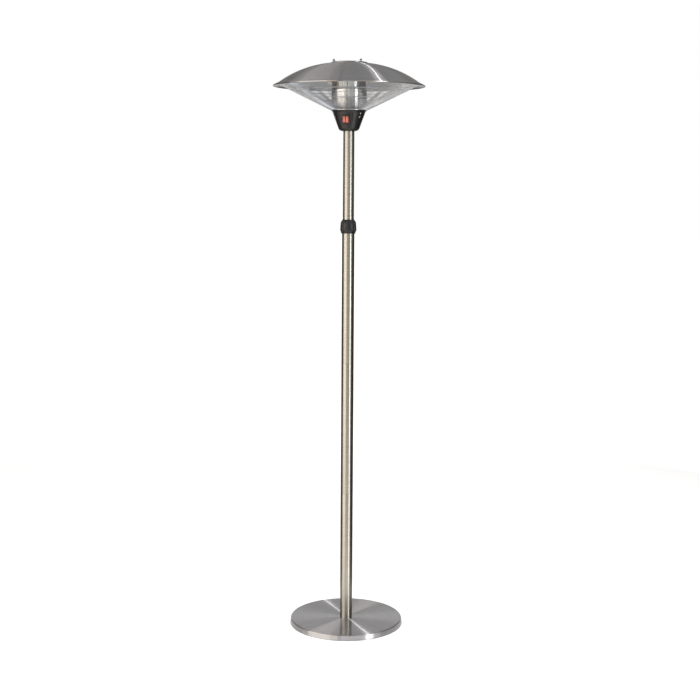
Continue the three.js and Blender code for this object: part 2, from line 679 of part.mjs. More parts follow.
function buildControls() {
  const controls = new THREE.Group();
  subPart(controls, "control_housing", controlHousing(), blackPlastic);
  subPart(controls, "mast_bracket", mastBracket(), zincSteel);
  let count = 0;
  for (const angle of stationAngles()) {
    for (const drop of [UPPER_SCREW_DROP, LOWER_SCREW_DROP]) {
      count += 1;
      const screw = onCone(housingScrew(), RIM_Z - drop, angle);
      subPart(controls, `housing_screw_${count}`, screw, polishedSteel);
    }
  }
  subPart(controls, "switch_bezel", switchBezel(), blackPlastic);
  subPart(controls, "rocker_left", rocker(-1), redRocker);
  subPart(controls, "rocker_right", rocker(1), redRocker);
  subPart(controls, "cable_gland", onCone(cableGland(), HOUSING_Z + GLAND_H, 180), blackPlastic);
  const ceiling = HEAD_PLATE_Z - GAP - BRACKET_T - GAP;
  const beside = UPPER_TUBE_R + GAP + BRACKET_WALL + INNER_CLEARANCE;
  const terminal = box(TERMINAL.w, TERMINAL.d, TERMINAL.h,
    0, beside + TERMINAL.d / 2, ceiling - TERMINAL.h / 2);
  subPart(controls, "terminal_block", terminal, nylon);
  const tilt = box(TILT_SWITCH.w, TILT_SWITCH.d, TILT_SWITCH.h,
    beside + TILT_SWITCH.w / 2, 0, ceiling - TILT_SWITCH.h / 2);
  subPart(controls, "tilt_switch", tilt, blackPlastic);
  return controls;
}

// ---------------------------------------------------------------- head

function headPlate() {
  return pipe(WIRE_HOLE_R, HEAD_PLATE_R, HEAD_PLATE_Z, HEAD_PLATE_Z + HEAD_PLATE_T, SEG_MID);
}

// The guard: a band on the head plate, straight wires up to the reflector's hem, and
// hoops welded behind them. The wires' lower ends are welded to the band.
function guard() {
  const bandR = HEAD_PLATE_R + GAP;
  const rimR = bandR + GUARD_BAND_T;
  const bandZ = HEAD_PLATE_Z;
  const shelfInner = HEAD_PLATE_R - GUARD_SHELF + 1;
  let cage = turned([
    [shelfInner, SHELF_Z], [bandR, SHELF_Z], [bandR, bandZ], [rimR, bandZ],
    [rimR, bandZ + GUARD_BAND_H], [bandR, bandZ + GUARD_BAND_H],
    [bandR, SHELF_Z + GUARD_SHELF_T], [shelfInner, SHELF_Z + GUARD_SHELF_T],
  ], SEG_MID);
  const start = new THREE.Vector2(rimR - GUARD_WELD, bandZ + GUARD_WIRE_R * 1.5);
  const end = new THREE.Vector2(GUARD_EDGE_R, GUARD_TOP_Z);
  const run = end.clone().sub(start);
  const tilt = THREE.MathUtils.radToDeg(Math.atan2(run.y, run.x));
  const wire = rod(GUARD_WIRE_R, 0, run.length(), 4).rotate([90 - tilt, 0, 0])
    .translate([0, -start.x, start.y]);
  const hoops = GUARD_RING_RADII.map((r) => {
    const lift = (GUARD_WIRE_R + GUARD_RING_R - GUARD_WELD) / Math.cos(Math.atan2(run.y, run.x));
    const z = start.y + ((r - start.x) * run.y) / run.x + lift;
    return hoop(r, z, GUARD_RING_R, 4);
  });
  hoops.push(hoop(GUARD_EDGE_R, GUARD_TOP_Z, GUARD_TOP_RING_R, 5));
  const wires = [];
  for (let i = 0; i < GUARD_WIRES; i += 1) {
    wires.push(atAngle(wire, (360 / GUARD_WIRES) * (i + 0.5)));
  }
  return wasm.Manifold.union([cage, ...hoops, ...wires]);
}

// A round wire bent to a circle, with a section of few sides. The wires cross it at the
// middle of its flats, which lie on the circle.
function hoop(circleR, z, wireR, sides) {
  const cornerR = circleR / Math.cos(Math.PI / GUARD_WIRES);
  const outline = Array.from({ length: sides }, (_, i) => {
    const a = (2 * Math.PI * i) / sides;
    return [cornerR + wireR * Math.cos(a), z + wireR * Math.sin(a)];
  });
  return turned(outline, GUARD_WIRES);
}

function reflectorDrum() {
  return pipe(DRUM_R - DRUM_T, DRUM_R, DRUM_Z, DRUM_TOP_Z, SEG_MID);
}

function innerReflector() {
  const edge = REFLECTOR_EDGE_R;
  const under = arcPoints(REFLECTOR_ARC_R, edge, REFLECTOR_STEPS);
  const over = arcPoints(REFLECTOR_OUTER_ARC_R, edge + REFLECTOR_T, REFLECTOR_STEPS);
  const hemR = edge + REFLECTOR_HEM;
  const reflector = turned([
    ...under, [edge, HEM_Z], [hemR, HEM_Z], [hemR, HEM_Z + REFLECTOR_T], ...over.reverse(),
  ], SEG_BIG);
  return drilled(reflector);
}

function dome() {
  const lipZ = ARC_Z + arcHeight(DOME_ARC_R, DOME_ARC_END_R) - DOME_LIP_DROP;
  const over = arcPoints(DOME_ARC_R, DOME_ARC_END_R, DOME_STEPS);
  const under = arcPoints(DOME_INNER_ARC_R, DOME_ARC_END_R, DOME_STEPS);
  return drilled(turned([
    ...over, [DOME_R - DOME_HEM_ROUND, lipZ], [DOME_R, lipZ - DOME_HEM_ROUND],
    [DOME_R, lipZ - DOME_HEM_H], [DOME_R - DOME_HEM_T, lipZ - DOME_HEM_H],
    [DOME_R - DOME_HEM_T, lipZ - DOME_T], ...under.reverse(),
  ], SEG_BIG));
}

function topCap() {
  const cap = turned([
    [0, CAP_TOP_Z], [CAP_FLAT_R, CAP_TOP_Z], [CAP_R, CAP_EDGE_Z + CAP_T], [CAP_R, CAP_EDGE_Z],
    [CAP_R - 1, CAP_EDGE_Z], [CAP_FLAT_R - 0.3, CAP_TOP_Z - CAP_T], [0, CAP_TOP_Z - CAP_T],
  ], SEG_MID);
  return drilled(cap);
}

// Drills the three tie rod holes through a turned piece of the head.
function drilled(part) {
  for (const angle of stationAngles()) {
    const hole = rod(ROD_R + GAP, DRUM_Z, CAP_TOP_Z + PAST, SEG_FINE)
      .translate([0, -ROD_CIRCLE_R, 0]);
    part = part.subtract(atAngle(hole, angle));
  }
  return part;
}

const NUT_SEAT_Z = CAP_TOP_Z + GAP + NUT_SPACER_H + GAP;

function tieRod() {
  return rod(ROD_R, ROD_Z, NUT_SEAT_Z + NUT_H, SEG_FINE).translate([0, -ROD_CIRCLE_R, 0]);
}

function domeSpacer() {
  const reach = ROD_R + GAP + SPACER_WALL;
  const bottom = ARC_Z + arcHeight(REFLECTOR_OUTER_ARC_R, ROD_CIRCLE_R - reach) + GAP;
  const top = ARC_Z + arcHeight(DOME_INNER_ARC_R, ROD_CIRCLE_R + reach) - GAP;
  return pipe(ROD_R + GAP, reach, bottom, top, SEG_FINE).translate([0, -ROD_CIRCLE_R, 0]);
}

function nutSpacer() {
  const bottom = CAP_TOP_Z + GAP;
  return pipe(ROD_R + GAP, ROD_R + GAP + NUT_SPACER_WALL, bottom, bottom + NUT_SPACER_H, SEG_FINE)
    .translate([0, -ROD_CIRCLE_R, 0]);
}

function capNut() {
  const hex = rod(NUT_R, NUT_SEAT_Z, NUT_SEAT_Z + NUT_H, 6);
  const crown = turned([
    [0, NUT_SEAT_Z + NUT_H - 0.5], [NUT_R * 0.8, NUT_SEAT_Z + NUT_H - 0.5],
    [NUT_R * 0.8, NUT_SEAT_Z + NUT_H + 0.4], [NUT_R * 0.55, NUT_SEAT_Z + NUT_H + 1.6],
    [0, NUT_SEAT_Z + NUT_H + NUT_DOME_H],
  ], SEG_FINE);
  const thread = rod(ROD_R + GAP, NUT_SEAT_Z - 1, NUT_SEAT_Z + NUT_H + GAP, SEG_FINE);
  return hex.add(crown).subtract(thread).translate([0, -ROD_CIRCLE_R, 0]);
}

class RingArc extends THREE.Curve {
  constructor(radius, z, opening) {
    super();
    this.radius = radius;
    this.z = z;
    this.opening = THREE.MathUtils.degToRad(opening);
  }

  getPoint(t, target = new THREE.Vector3()) {
    const a = Math.PI / 2 + this.opening / 2 + t * (2 * Math.PI - this.opening);
    return target.set(this.radius * Math.cos(a), this.radius * Math.sin(a), this.z);
  }
}

function ringLamp(drop) {
  const section = new THREE.Shape();
  section.absarc(0, 0, LAMP_R, 0, 2 * Math.PI, false);
  return solid(new THREE.ExtrudeGeometry(section, {
    steps: LAMP_STEPS, curveSegments: 3, bevelEnabled: false,
    extrudePath: new RingArc(LAMP_CIRCLE_R, DRUM_TOP_Z - drop, LAMP_OPENING),
  }));
}

// A clip plate on the drum: each lamp lies in a notch that opens outwards.
function lampHolder() {
  const inner = DRUM_R + GAP;
  const outer = LAMP_CIRCLE_R + LAMP_R + HOLDER_PAST_LAMP;
  const top = DRUM_TOP_Z - Math.min(...LAMP_DROPS) + LAMP_R + HOLDER_MARGIN;
  const bottom = DRUM_TOP_Z - Math.max(...LAMP_DROPS) - LAMP_R - HOLDER_MARGIN;
  const middle = (top + bottom) / 2;
  let plate = box(HOLDER_T, outer - inner, top - bottom, 0, -(inner + outer) / 2, middle);
  for (const drop of LAMP_DROPS) {
    const z = DRUM_TOP_Z - drop;
    const seat = rod(LAMP_R + LAMP_PLAY, -HOLDER_T, HOLDER_T).rotate([0, 90, 0])
      .translate([0, -LAMP_CIRCLE_R, z]);
    const way = box(HOLDER_T * 2, 2 * PAST, 2 * (LAMP_R - HOLDER_LIP), 0, -LAMP_CIRCLE_R - PAST, z);
    plate = plate.subtract(seat).subtract(way);
  }
  const notchH = LAMP_DROPS[1] - LAMP_DROPS[0] - 2 * (LAMP_R + HOLDER_WEB);
  return plate.subtract(box(HOLDER_T * 2, 2 * HOLDER_NOTCH, notchH, 0, -outer, middle));
}

// The ceramic block behind the drum that takes the four lamp ends.
function lampTerminal() {
  const inner = DRUM_R + GAP;
  const reach = LAMP_R + LAMP_TERMINAL_WALL;
  const outer = LAMP_CIRCLE_R + reach;
  const top = DRUM_TOP_Z - Math.min(...LAMP_DROPS) + reach;
  const bottom = DRUM_TOP_Z - Math.max(...LAMP_DROPS) - reach;
  const block = box(LAMP_TERMINAL_W, outer - inner + PAST, top - bottom,
    0, (inner + outer - PAST) / 2, (top + bottom) / 2);
  return block.subtract(rod(DRUM_R + GAP, bottom - 1, top + 1, SEG_MID));
}

function buildHead() {
  const head = new THREE.Group();
  subPart(head, "head_plate", headPlate(), zincSteel);
  subPart(head, "guard", guard(), wireChrome);
  subPart(head, "reflector_drum", reflectorDrum(), polishedSteel);
  subPart(head, "inner_reflector", innerReflector(), polishedSteel);
  subPart(head, "dome", dome(), brushedSteel);
  subPart(head, "top_cap", topCap(), brushedSteel);
  LAMP_DROPS.forEach((drop, i) => {
    subPart(head, `ring_lamp_${i + 1}`, ringLamp(drop), quartz);
  });
  subPart(head, "lamp_terminal", lampTerminal(), ceramic);
  stationAngles().forEach((angle, i) => {
    subPart(head, `lamp_holder_${i + 1}`, atAngle(lampHolder(), angle + 60), polishedSteel);
    subPart(head, `tie_rod_${i + 1}`, atAngle(tieRod(), angle), zincSteel);
    subPart(head, `dome_spacer_${i + 1}`, atAngle(domeSpacer(), angle), zincSteel);
    subPart(head, `nut_spacer_${i + 1}`, atAngle(nutSpacer(), angle), zincSteel);
    subPart(head, `cap_nut_${i + 1}`, atAngle(capNut(), angle), zincSteel);
  });
  return head;
}

tower.add(buildBase(), buildPole(), buildControls(), buildHead());

export default tower;
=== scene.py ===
import math

import bmesh
import bpy
from mathutils import Matrix, Vector


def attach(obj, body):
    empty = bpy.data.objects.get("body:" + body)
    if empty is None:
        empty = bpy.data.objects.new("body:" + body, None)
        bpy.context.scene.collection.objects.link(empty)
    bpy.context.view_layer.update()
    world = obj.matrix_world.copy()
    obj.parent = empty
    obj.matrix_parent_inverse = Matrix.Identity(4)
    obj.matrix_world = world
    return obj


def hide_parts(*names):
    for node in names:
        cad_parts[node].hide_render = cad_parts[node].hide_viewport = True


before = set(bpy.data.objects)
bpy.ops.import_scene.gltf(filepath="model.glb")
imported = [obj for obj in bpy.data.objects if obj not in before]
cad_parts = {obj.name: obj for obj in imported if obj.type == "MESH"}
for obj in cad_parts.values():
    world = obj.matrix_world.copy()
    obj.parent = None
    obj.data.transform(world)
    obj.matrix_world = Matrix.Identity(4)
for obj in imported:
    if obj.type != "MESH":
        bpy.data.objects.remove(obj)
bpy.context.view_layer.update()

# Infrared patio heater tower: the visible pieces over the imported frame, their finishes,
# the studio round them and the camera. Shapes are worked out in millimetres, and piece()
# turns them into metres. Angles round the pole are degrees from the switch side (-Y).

MM = 0.001

# -------- sizes that the CAD has too

GAP = 0.3
COVER_TOP_R, COVER_FLARE, COVER_EDGE_R, COVER_T = 205.5, 3.0, 3.5, 1.2
FOOT_R, FOOT_H, FOOT_CIRCLE_R, FOOT_COUNT = 11.0, 1.5, 178.0, 4
PLATE_R, PLATE_T, WEIGHT_H = 203.0, 1.5, 16.9
SOCKET_FLOOR, SOCKET_FLANGE_T = 4.0, 4.0
SECTION_L, LOWER_TUBE_R, UPPER_TUBE_R, TUBE_WALL = 482.7, 22.5, 20.0, 1.5
UPPER_SHOWING, UPPER_INSIDE, UPPER_IN_HOUSING = 311.7, 141.0, 50.0
SLEEVE_SKIRT, SLEEVE_FLANGE_T, SLEEVE_FLANGE, SLEEVE_WALL = 9.0, 2.7, 1.5, 1.7
SLEEVE_H, SLEEVE_TAPER, SLIT_W, SLIT_L, SLEEVE_SLITS = 25.0, 8.0, 1.6, 18.0, 4
COLLAR_H, COLLAR_WALL, COLLAR_FOOT, COLLAR_WAIST, COLLAR_SHOULDER = 46.5, 4.3, 7.4, 12.0, 35.5
COLLAR_RIBS, FLUTE_R = 12, 5.0
HOUSING_H, HOUSING_RIM_R, HOUSING_THROAT_R, HOUSING_THROAT_DROP = 72.5, 63.0, 57.1, 9.0
HOUSING_HEEL_R, HOUSING_HEEL_H, HOUSING_WALL = 38.2, 12.0, 2.6
SCREW_HEAD_R, SCREW_HEAD_H, SCREW_SHANK_R, SCREW_L = 3.6, 2.2, 1.6, 7.0
SCREW_DROPS, STATIONS = (11.0, 23.5), 3
SWITCH_DROP, BEZEL_PROUD, SWITCH_BODY_DEPTH, SWITCH_WALL = 33.5, 1.8, 17.0, 1.8
ROCKER_PIVOT_DEPTH, ROCKER_DISH, ROCKER_TIP, ROCKER_BACK, ROCKER_TILT = 2.5, 0.5, 2.8, 6.5, 11.0
GLAND_H, GLAND_HEX_R, GLAND_HEX_L, GLAND_DOME_L, GLAND_BORE_R = 24.0, 9.5, 5.0, 9.0, 3.6
HEAD_PLATE_R, HEAD_PLATE_T, WIRE_HOLE_R = 64.0, 2.0, 14.0
DRUM_R, DRUM_T, DRUM_H, ROD_R, ROD_CIRCLE_R = 63.0, 0.8, 150.0, 2.5, 56.5
NUT_R, NUT_H, NUT_DOME_H, NUT_SPACER_H, NUT_SPACER_WALL = 4.4, 2.8, 2.2, 3.4, 0.9
ARC_OFFSET, REFLECTOR_ARC_R, REFLECTOR_T, REFLECTOR_HEM, SKIN_GAP = 32.6, 364.4, 0.8, 7.0, 8.0
DOME_R, DOME_T, DOME_LIP_W, DOME_LIP_DROP, DOME_HEM_H = 270.0, 1.0, 20.0, 9.5, 3.2
REFLECTOR_EDGE_R, TOP_HOLE_R, CAP_R, CAP_FLAT_R, CAP_RISE, CAP_T = 240.0, 50.0, 66.0, 60.0, 3.2, 1.0
GUARD_EDGE_R, GUARD_BAND_T, GUARD_BAND_H, GUARD_SHELF, GUARD_SHELF_T = 243.0, 1.3, 5.4, 4.0, 1.0
GUARD_TOP_RING_R, GUARD_RING_RADII = 1.8, (142.0, 200.0)
LAMP_CIRCLE_R, LAMP_R, LAMP_DROPS, LAMP_OPENING = 98.0, 5.0, (28.0, 46.0), 18.0

# Sizes that differ a little from the CAD's. The small parts read better so in a picture of the
# whole heater, and the guard has its real wires: the CAD solid has fewer and thicker ones.
FLUTE_DEPTH = 2.0
GROOVE_R, GROOVE_DEPTH, GROOVE_TOP_DROP, GROOVE_L = 2.9, 1.6, 10.0, 28.0
BEZEL_W, BEZEL_H, BEZEL_SINK = 30.0, 35.0, 4.2
SWITCH_WEB, ROCKER_W, ROCKER_SWING_R = 1.2, 9.3, 11.4
GUARD_WIRES, GUARD_WIRE_R, GUARD_RING_R = 198, 0.8, 1.2

# Small forms that the CAD leaves to this file.
BEAD_PROUD, BEAD_ROOM, BEAD_H, BEAD_BORE_H, BEAD_SHOULDER_H = 0.7, 0.6, 2.0, 2.2, 2.6
RIB_RADII, RIB_RISE, RIB_SLOPE, RIB_W = (60.0, 140.0), 0.7, 2.0, 8.0
PAD_HOLLOW_R, PAD_HOLLOW_H, CUT_EDGE = 4.2, 0.7, 0.45
COLLAR_NARROWING, COLLAR_ROWS, RIB_POINTS, FLUTE_END, CONE_ROWS = 1.7, 12, 22, 9.0, 64
RECESS_W, RECESS_L, RECESS_DEPTH = 0.9, 4.0, 1.2
STEM_R, STEM_L, DOME_NUT_R, DOME_NUT_H, DOME_NUT_TIP_R = 6.5, 8.0, 7.9, 5.0, 6.1
DOME_NUT_FLUTES, DOME_NUT_FLUTE_W, DOME_NUT_FLUTE_L, DOME_NUT_FLUTE_DEPTH = 12, 2.4, 4.0, 0.5
WIRE_SINK, WIRE_FOOT_H, WELD_SINK, DOME_HEM_W = 0.5, 1.4, 0.3, 2.0
LAMP_WALL, COIL_R, COIL_WIRE_R, COIL_TURNS = 1.0, 1.5, 0.3, 260
WIRE_SIDES, HOOP_POINTS, LAMP_POINTS, LAMP_SIDES, BORE_SIDES = 8, 264, 120, 24, 20
TURN_STEPS, COIL_SIDES = 8, 4

# Heights and distances that follow.
PLATE_Z = FOOT_H + GAP
WEIGHT_Z = PLATE_Z + PLATE_T + GAP
BASE_TOP_Z = WEIGHT_Z + WEIGHT_H + GAP + COVER_T
TUBE_Z = [WEIGHT_Z + SOCKET_FLOOR + GAP + SOCKET_FLANGE_T + GAP + n * (SECTION_L + GAP)
          for n in range(3)]
LOWER_TOP_Z = TUBE_Z[2] + SECTION_L
SLEEVE_Z = LOWER_TOP_Z - SLEEVE_SKIRT - SLEEVE_FLANGE_T
SLEEVE_R = LOWER_TUBE_R + GAP + SLEEVE_WALL
COLLAR_Z = SLEEVE_Z + SLEEVE_FLANGE_T + GAP
HOUSING_Z = COLLAR_Z + COLLAR_H + UPPER_SHOWING
RIM_Z = HOUSING_Z + HOUSING_H
HEAD_PLATE_Z = RIM_Z + GAP
SHELF_Z = HEAD_PLATE_Z + HEAD_PLATE_T + GAP
DRUM_Z = SHELF_Z + GUARD_SHELF_T + GAP
DRUM_TOP_Z = DRUM_Z + DRUM_H
CONE_SLOPE = ((HOUSING_THROAT_R - HOUSING_HEEL_R)
              / (HOUSING_H - HOUSING_THROAT_DROP - HOUSING_HEEL_H))


def arc_height(arc_r, r):
    """Height of an arc of the head over the arcs' shared centre, at a distance from the axis."""
    return math.sqrt(arc_r ** 2 - (r - ARC_OFFSET) ** 2)


def even(start, end, steps):
    """The numbers from start to end in even steps, both ends among them."""
    return [start + (end - start) * n / steps for n in range(steps + 1)]


ARC_Z = DRUM_TOP_Z + GAP - arc_height(REFLECTOR_ARC_R, DRUM_R)
REFLECTOR_OUTER_R = REFLECTOR_ARC_R + REFLECTOR_T
DOME_INNER_R = REFLECTOR_OUTER_R + SKIN_GAP
DOME_OUTER_R = DOME_INNER_R + DOME_T
CAP_EDGE_Z = ARC_Z + arc_height(DOME_OUTER_R, CAP_R) + GAP
CAP_TOP_Z = CAP_EDGE_Z + CAP_RISE + CAP_T
HEM_Z = ARC_Z + arc_height(REFLECTOR_ARC_R, REFLECTOR_EDGE_R) - REFLECTOR_T
GUARD_TOP_Z = HEM_Z - GAP - GUARD_TOP_RING_R
NUT_SEAT_Z = CAP_TOP_Z + GAP + NUT_SPACER_H + GAP

# -------- nodes, trees and meshes


def fill(tree, node, inputs):
    """Sets a node's inputs to values, to other nodes' outputs, or to a node's first output."""
    for key, value in inputs.items():
        if isinstance(value, bpy.types.Node):
            value = value.outputs[0]
        if isinstance(value, bpy.types.NodeSocket):
            tree.links.new(value, node.inputs[key])
        else:
            node.inputs[key].default_value = value


def add(tree, kind, inputs=None, **settings):
    """Adds a node with its settings and its inputs."""
    node = tree.nodes.new(kind)
    for key, value in settings.items():
        setattr(node, key, value)
    fill(tree, node, inputs or {})
    return node


def calc(tree, operation, *values, kind="ShaderNodeMath"):
    """A math node on numbers and other nodes' outputs."""
    return add(tree, kind, dict(enumerate(values)), operation=operation)


def vector_calc(tree, operation, *vectors):
    """A math node on vectors."""
    return calc(tree, operation, *vectors, kind="ShaderNodeVectorMath")


def length(tree, vector):
    """The output of a node that measures a vector."""
    return vector_calc(tree, "LENGTH", vector).outputs["Value"]


def scaled(tree, vector, factor):
    """A node that multiplies a vector by a number."""
    return add(tree, "ShaderNodeVectorMath", {0: vector, "Scale": factor}, operation="SCALE")


def combined(tree, x=0.0, y=0.0, z=0.0):
    """A node that makes a vector."""
    return add(tree, "ShaderNodeCombineXYZ", {0: x, 1: y, 2: z})


def shape_tree(name, **inputs):
    """A geometry node tree with named inputs; returns it and the outputs that give them."""
    tree = bpy.data.node_groups.new(name, "GeometryNodeTree")
    tree.interface.new_socket("Geometry", in_out="OUTPUT", socket_type="NodeSocketGeometry")
    for label, kind in {"Geometry": "Geometry", **inputs, "Finish": "Material"}.items():
        tree.interface.new_socket(label, in_out="INPUT", socket_type=f"NodeSocket{kind}")
    return tree, tree.nodes.new("NodeGroupInput").outputs


def closed(tree, given, geometry):
    """The tree with its end: instances made real, the finish set, the result handed out."""
    real = add(tree, "GeometryNodeRealizeInstances", {"Geometry": geometry})
    done = add(tree, "GeometryNodeSetMaterial", {"Geometry": real, "Material": given["Finish"]})
    add(tree, "NodeGroupOutput", {0: done})
    return tree


def placed(name, data):
    """A new object in the scene."""
    obj = bpy.data.objects.new(name, data)
    bpy.context.scene.collection.objects.link(obj)
    return obj


def evaluated(mesh, build):
    """The plain mesh that an object of this mesh has after build() puts modifiers on it."""
    host = placed("host", mesh or bpy.data.meshes.new("host"))
    build(host)
    graph = bpy.context.evaluated_depsgraph_get()
    made = bpy.data.meshes.new_from_object(host.evaluated_get(graph))
    bpy.data.objects.remove(host)
    return made


def grown(tree, finish, mesh=None, **inputs):
    """The plain mesh that a node tree makes from its named inputs."""
    def build(host):
        modifier = host.modifiers.new("shape", "NODES")
        modifier.node_group = tree
        named = {s.name: s.identifier for s in tree.interface.items_tree
                 if s.item_type == "SOCKET" and s.in_out == "INPUT"}
        for label, value in inputs.items():
            modifier[named[label]] = value
        modifier[named["Finish"]] = finish
    return evaluated(mesh, build)


def cut(mesh, tool, operation="DIFFERENCE"):
    """The mesh with another one taken away from it, joined to it or kept in common."""
    other = placed("tool", tool)

    def build(host):
        modifier = host.modifiers.new("cut", "BOOLEAN")
        modifier.object, modifier.operation, modifier.solver = other, operation, "EXACT"
    made = evaluated(mesh, build)
    bpy.data.objects.remove(other)
    return made


def bevelled(mesh, width, segments=3, angle=40):
    """The mesh with its edges over an angle rounded off."""
    def build(host):
        modifier = host.modifiers.new("edge", "BEVEL")
        modifier.width, modifier.segments = width, segments
        modifier.limit_method, modifier.angle_limit = "ANGLE", math.radians(angle)
    return evaluated(mesh, build)


def finished(shape):
    """The mesh that a bmesh holds; the bmesh is freed."""
    mesh = bpy.data.meshes.new("shape")
    shape.to_mesh(mesh)
    shape.free()
    return mesh


def facing_out(shape):
    """The mesh that a bmesh holds, with its faces turned outwards."""
    bmesh.ops.recalc_face_normals(shape, faces=shape.faces)
    return finished(shape)


def joined(*meshes):
    """Several meshes as one."""
    shape = bmesh.new()
    for mesh in meshes:
        shape.from_mesh(mesh)
    return finished(shape)


def moved(mesh, matrix):
    """A copy of a mesh put elsewhere by a matrix that doesn't mirror it."""
    copy = mesh.copy()
    copy.transform(matrix)
    return copy


def rounded(corners):
    """The points of a closed outline; a corner's third number rounds it to that radius."""
    points = []
    places = [Vector(corner[:2]) for corner in corners]
    for i, (here, corner) in enumerate(zip(places, corners)):
        if len(corner) < 3:
            points.append(here)
            continue
        radius = corner[2]
        before = (places[i - 1] - here).normalized()
        after = (places[(i + 1) % len(places)] - here).normalized()
        half = before.angle(after) / 2
        centre = here + (before + after).normalized() * radius / math.sin(half)
        start = here + before * radius / math.tan(half) - centre
        end = here + after * radius / math.tan(half) - centre
        a0 = math.atan2(start.y, start.x)
        sweep = (math.atan2(end.y, end.x) - a0 + math.pi) % (2 * math.pi) - math.pi
        steps = max(2, math.ceil(abs(sweep) / math.radians(15)))
        for n in range(steps + 1):
            a = a0 + sweep * n / steps
            points.append(centre + radius * Vector((math.cos(a), math.sin(a))))
    return points


ON_AXIS = 1e-6  # a radius that counts as none, in mm


def turned(corners, angles=160, outside=None):
    """Turns a closed outline of (radius, height[, rounding]) about the pole's axis. Where
    outside(radius, height) holds, the point attribute "outside" is 1."""
    points = rounded(corners)
    if isinstance(angles, int):
        angles = [360 * n / angles for n in range(angles)]
    turns = [(math.sin(math.radians(a)), -math.cos(math.radians(a))) for a in angles]
    shape = bmesh.new()
    mark = shape.verts.layers.float.new("outside") if outside else None
    rings = []
    for r, z in points:
        if r < ON_AXIS:
            ring = [shape.verts.new((0, 0, z))] * len(turns)
        else:
            ring = [shape.verts.new((r * s, r * c, z)) for s, c in turns]
        if outside and outside(r, z):
            for vert in ring:
                vert[mark] = 1.0
        rings.append(ring)
    ends_on_axis = points[0].x < ON_AXIS and points[-1].x < ON_AXIS
    for i in range(len(rings) - ends_on_axis):
        low, high = rings[i], rings[(i + 1) % len(rings)]
        for k in range(len(turns)):
            m = (k + 1) % len(turns)
            corners_of = []
            for vert in (low[k], low[m], high[m], high[k]):
                if vert not in corners_of:
                    corners_of.append(vert)
            if len(corners_of) > 2:
                shape.faces.new(corners_of)
    return facing_out(shape)


def block(w, d, h, x=0.0, y=0.0, z=0.0):
    """A box of a width, depth and height round a centre, for cutting and bevelling."""
    shape = bmesh.new()
    bmesh.ops.create_cube(shape, size=1.0,
                          matrix=Matrix.Translation((x, y, z)) @ Matrix.Diagonal((w, d, h, 1)))
    return facing_out(shape)


def slab(outline, width):
    """An outline of (inward, up) points across the X axis, as a slab of a width."""
    shape = bmesh.new()
    ends = [[shape.verts.new((x, y, z)) for y, z in outline] for x in (-width / 2, width / 2)]
    for k in range(len(outline)):
        m = (k + 1) % len(outline)
        shape.faces.new((ends[0][k], ends[0][m], ends[1][m], ends[1][k]))
    for end in ends:
        shape.faces.new(end)
    return facing_out(shape)


def cone_r(z):
    """Radius of the housing's cone at a height."""
    return HOUSING_HEEL_R + (z - HOUSING_Z - HOUSING_HEEL_H) * CONE_SLOPE


def on_cone(z, degrees=0.0):
    """The matrix that puts a shape facing -Y flat on the housing's cone."""
    return (Matrix.Rotation(math.radians(degrees), 4, "Z")
            @ Matrix.Translation((0, -cone_r(z), z))
            @ Matrix.Rotation(math.atan(CONE_SLOPE), 4, "X"))


FACING_OUT = Matrix.Rotation(math.pi / 2, 4, "X")  # what was turned about Z faces -Y


def piece(name, mesh, finish, body, nodes=(), sharp=38):
    """Puts a finished mesh in the scene, in metres: its finish, what it rides, what it is."""
    for attribute in [a for a in mesh.attributes if a.name == "outside"]:
        mesh.attributes.remove(attribute)
    mesh.transform(Matrix.Scale(MM, 4))
    mesh.name = name
    mesh.materials.clear()
    mesh.materials.append(finish)
    mesh.shade_smooth()
    mesh.set_sharp_from_angle(angle=math.radians(sharp))
    obj = placed(name, mesh)
    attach(obj, body)
    if nodes:
        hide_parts(*nodes)
    return obj


# -------- finishes


def shade(code):
    """An sRGB hex colour as the linear numbers that a shader takes."""
    parts = [int(code[i:i + 2], 16) / 255 for i in (1, 3, 5)]
    return [p / 12.92 if p <= 0.04045 else ((p + 0.055) / 1.055) ** 2.4 for p in parts] + [1.0]


def surface(name, colour, values):
    """A material named for a real finish, its tree, and its shader with the values on its own
    sockets."""
    material = bpy.data.materials.new(name)
    material.use_nodes = True
    tree = material.node_tree
    shader = tree.nodes["Principled BSDF"]
    fill(tree, shader, {"Base Color": shade(colour), **values})
    return material, tree, shader


def grit(tree, vector, scale, detail):
    """A noise pattern's value over a vector; scale counts the grains in each unit."""
    return add(tree, "ShaderNodeTexNoise",
               {"Vector": vector, "Scale": scale, "Detail": detail, "Roughness": 0.55})


def spread(tree, value, low, high):
    """A pattern's value from 0.3 to 0.7 as a number from low to high."""
    return add(tree, "ShaderNodeMapRange", {"Value": value, 1: 0.3, 2: 0.7, 3: low, 4: high})


def blend(tree, factor, first, second):
    """The output of a node that goes from one colour to another by a pattern's value."""
    return add(tree, "ShaderNodeMix", {"Factor": factor, 6: shade(first), 7: shade(second)},
               data_type="RGBA").outputs[2]


def round_grain(tree, run):
    """Coordinates of a grain that runs round the pole, its lines so many mm long."""
    place = add(tree, "ShaderNodeTexCoord").outputs["Object"]
    x, y, z = add(tree, "ShaderNodeSeparateXYZ", {0: place}).outputs
    flat = combined(tree, x, y)
    across = calc(tree, "SUBTRACT", length(tree, flat), z)
    lines = calc(tree, "MULTIPLY", across, 1 / (HAIRLINE_PITCH * MM))
    ends = add(tree, "ShaderNodeSeparateXYZ", {0: scaled(tree, flat, 1 / (run * MM))}).outputs
    return combined(tree, ends["X"], ends["Y"], lines)


def relief(tree, height, depth, strength):
    """Bump from a pattern's value, depth in mm between its low and high."""
    return add(tree, "ShaderNodeBump",
               {"Strength": strength, "Distance": depth * MM, "Height": height})


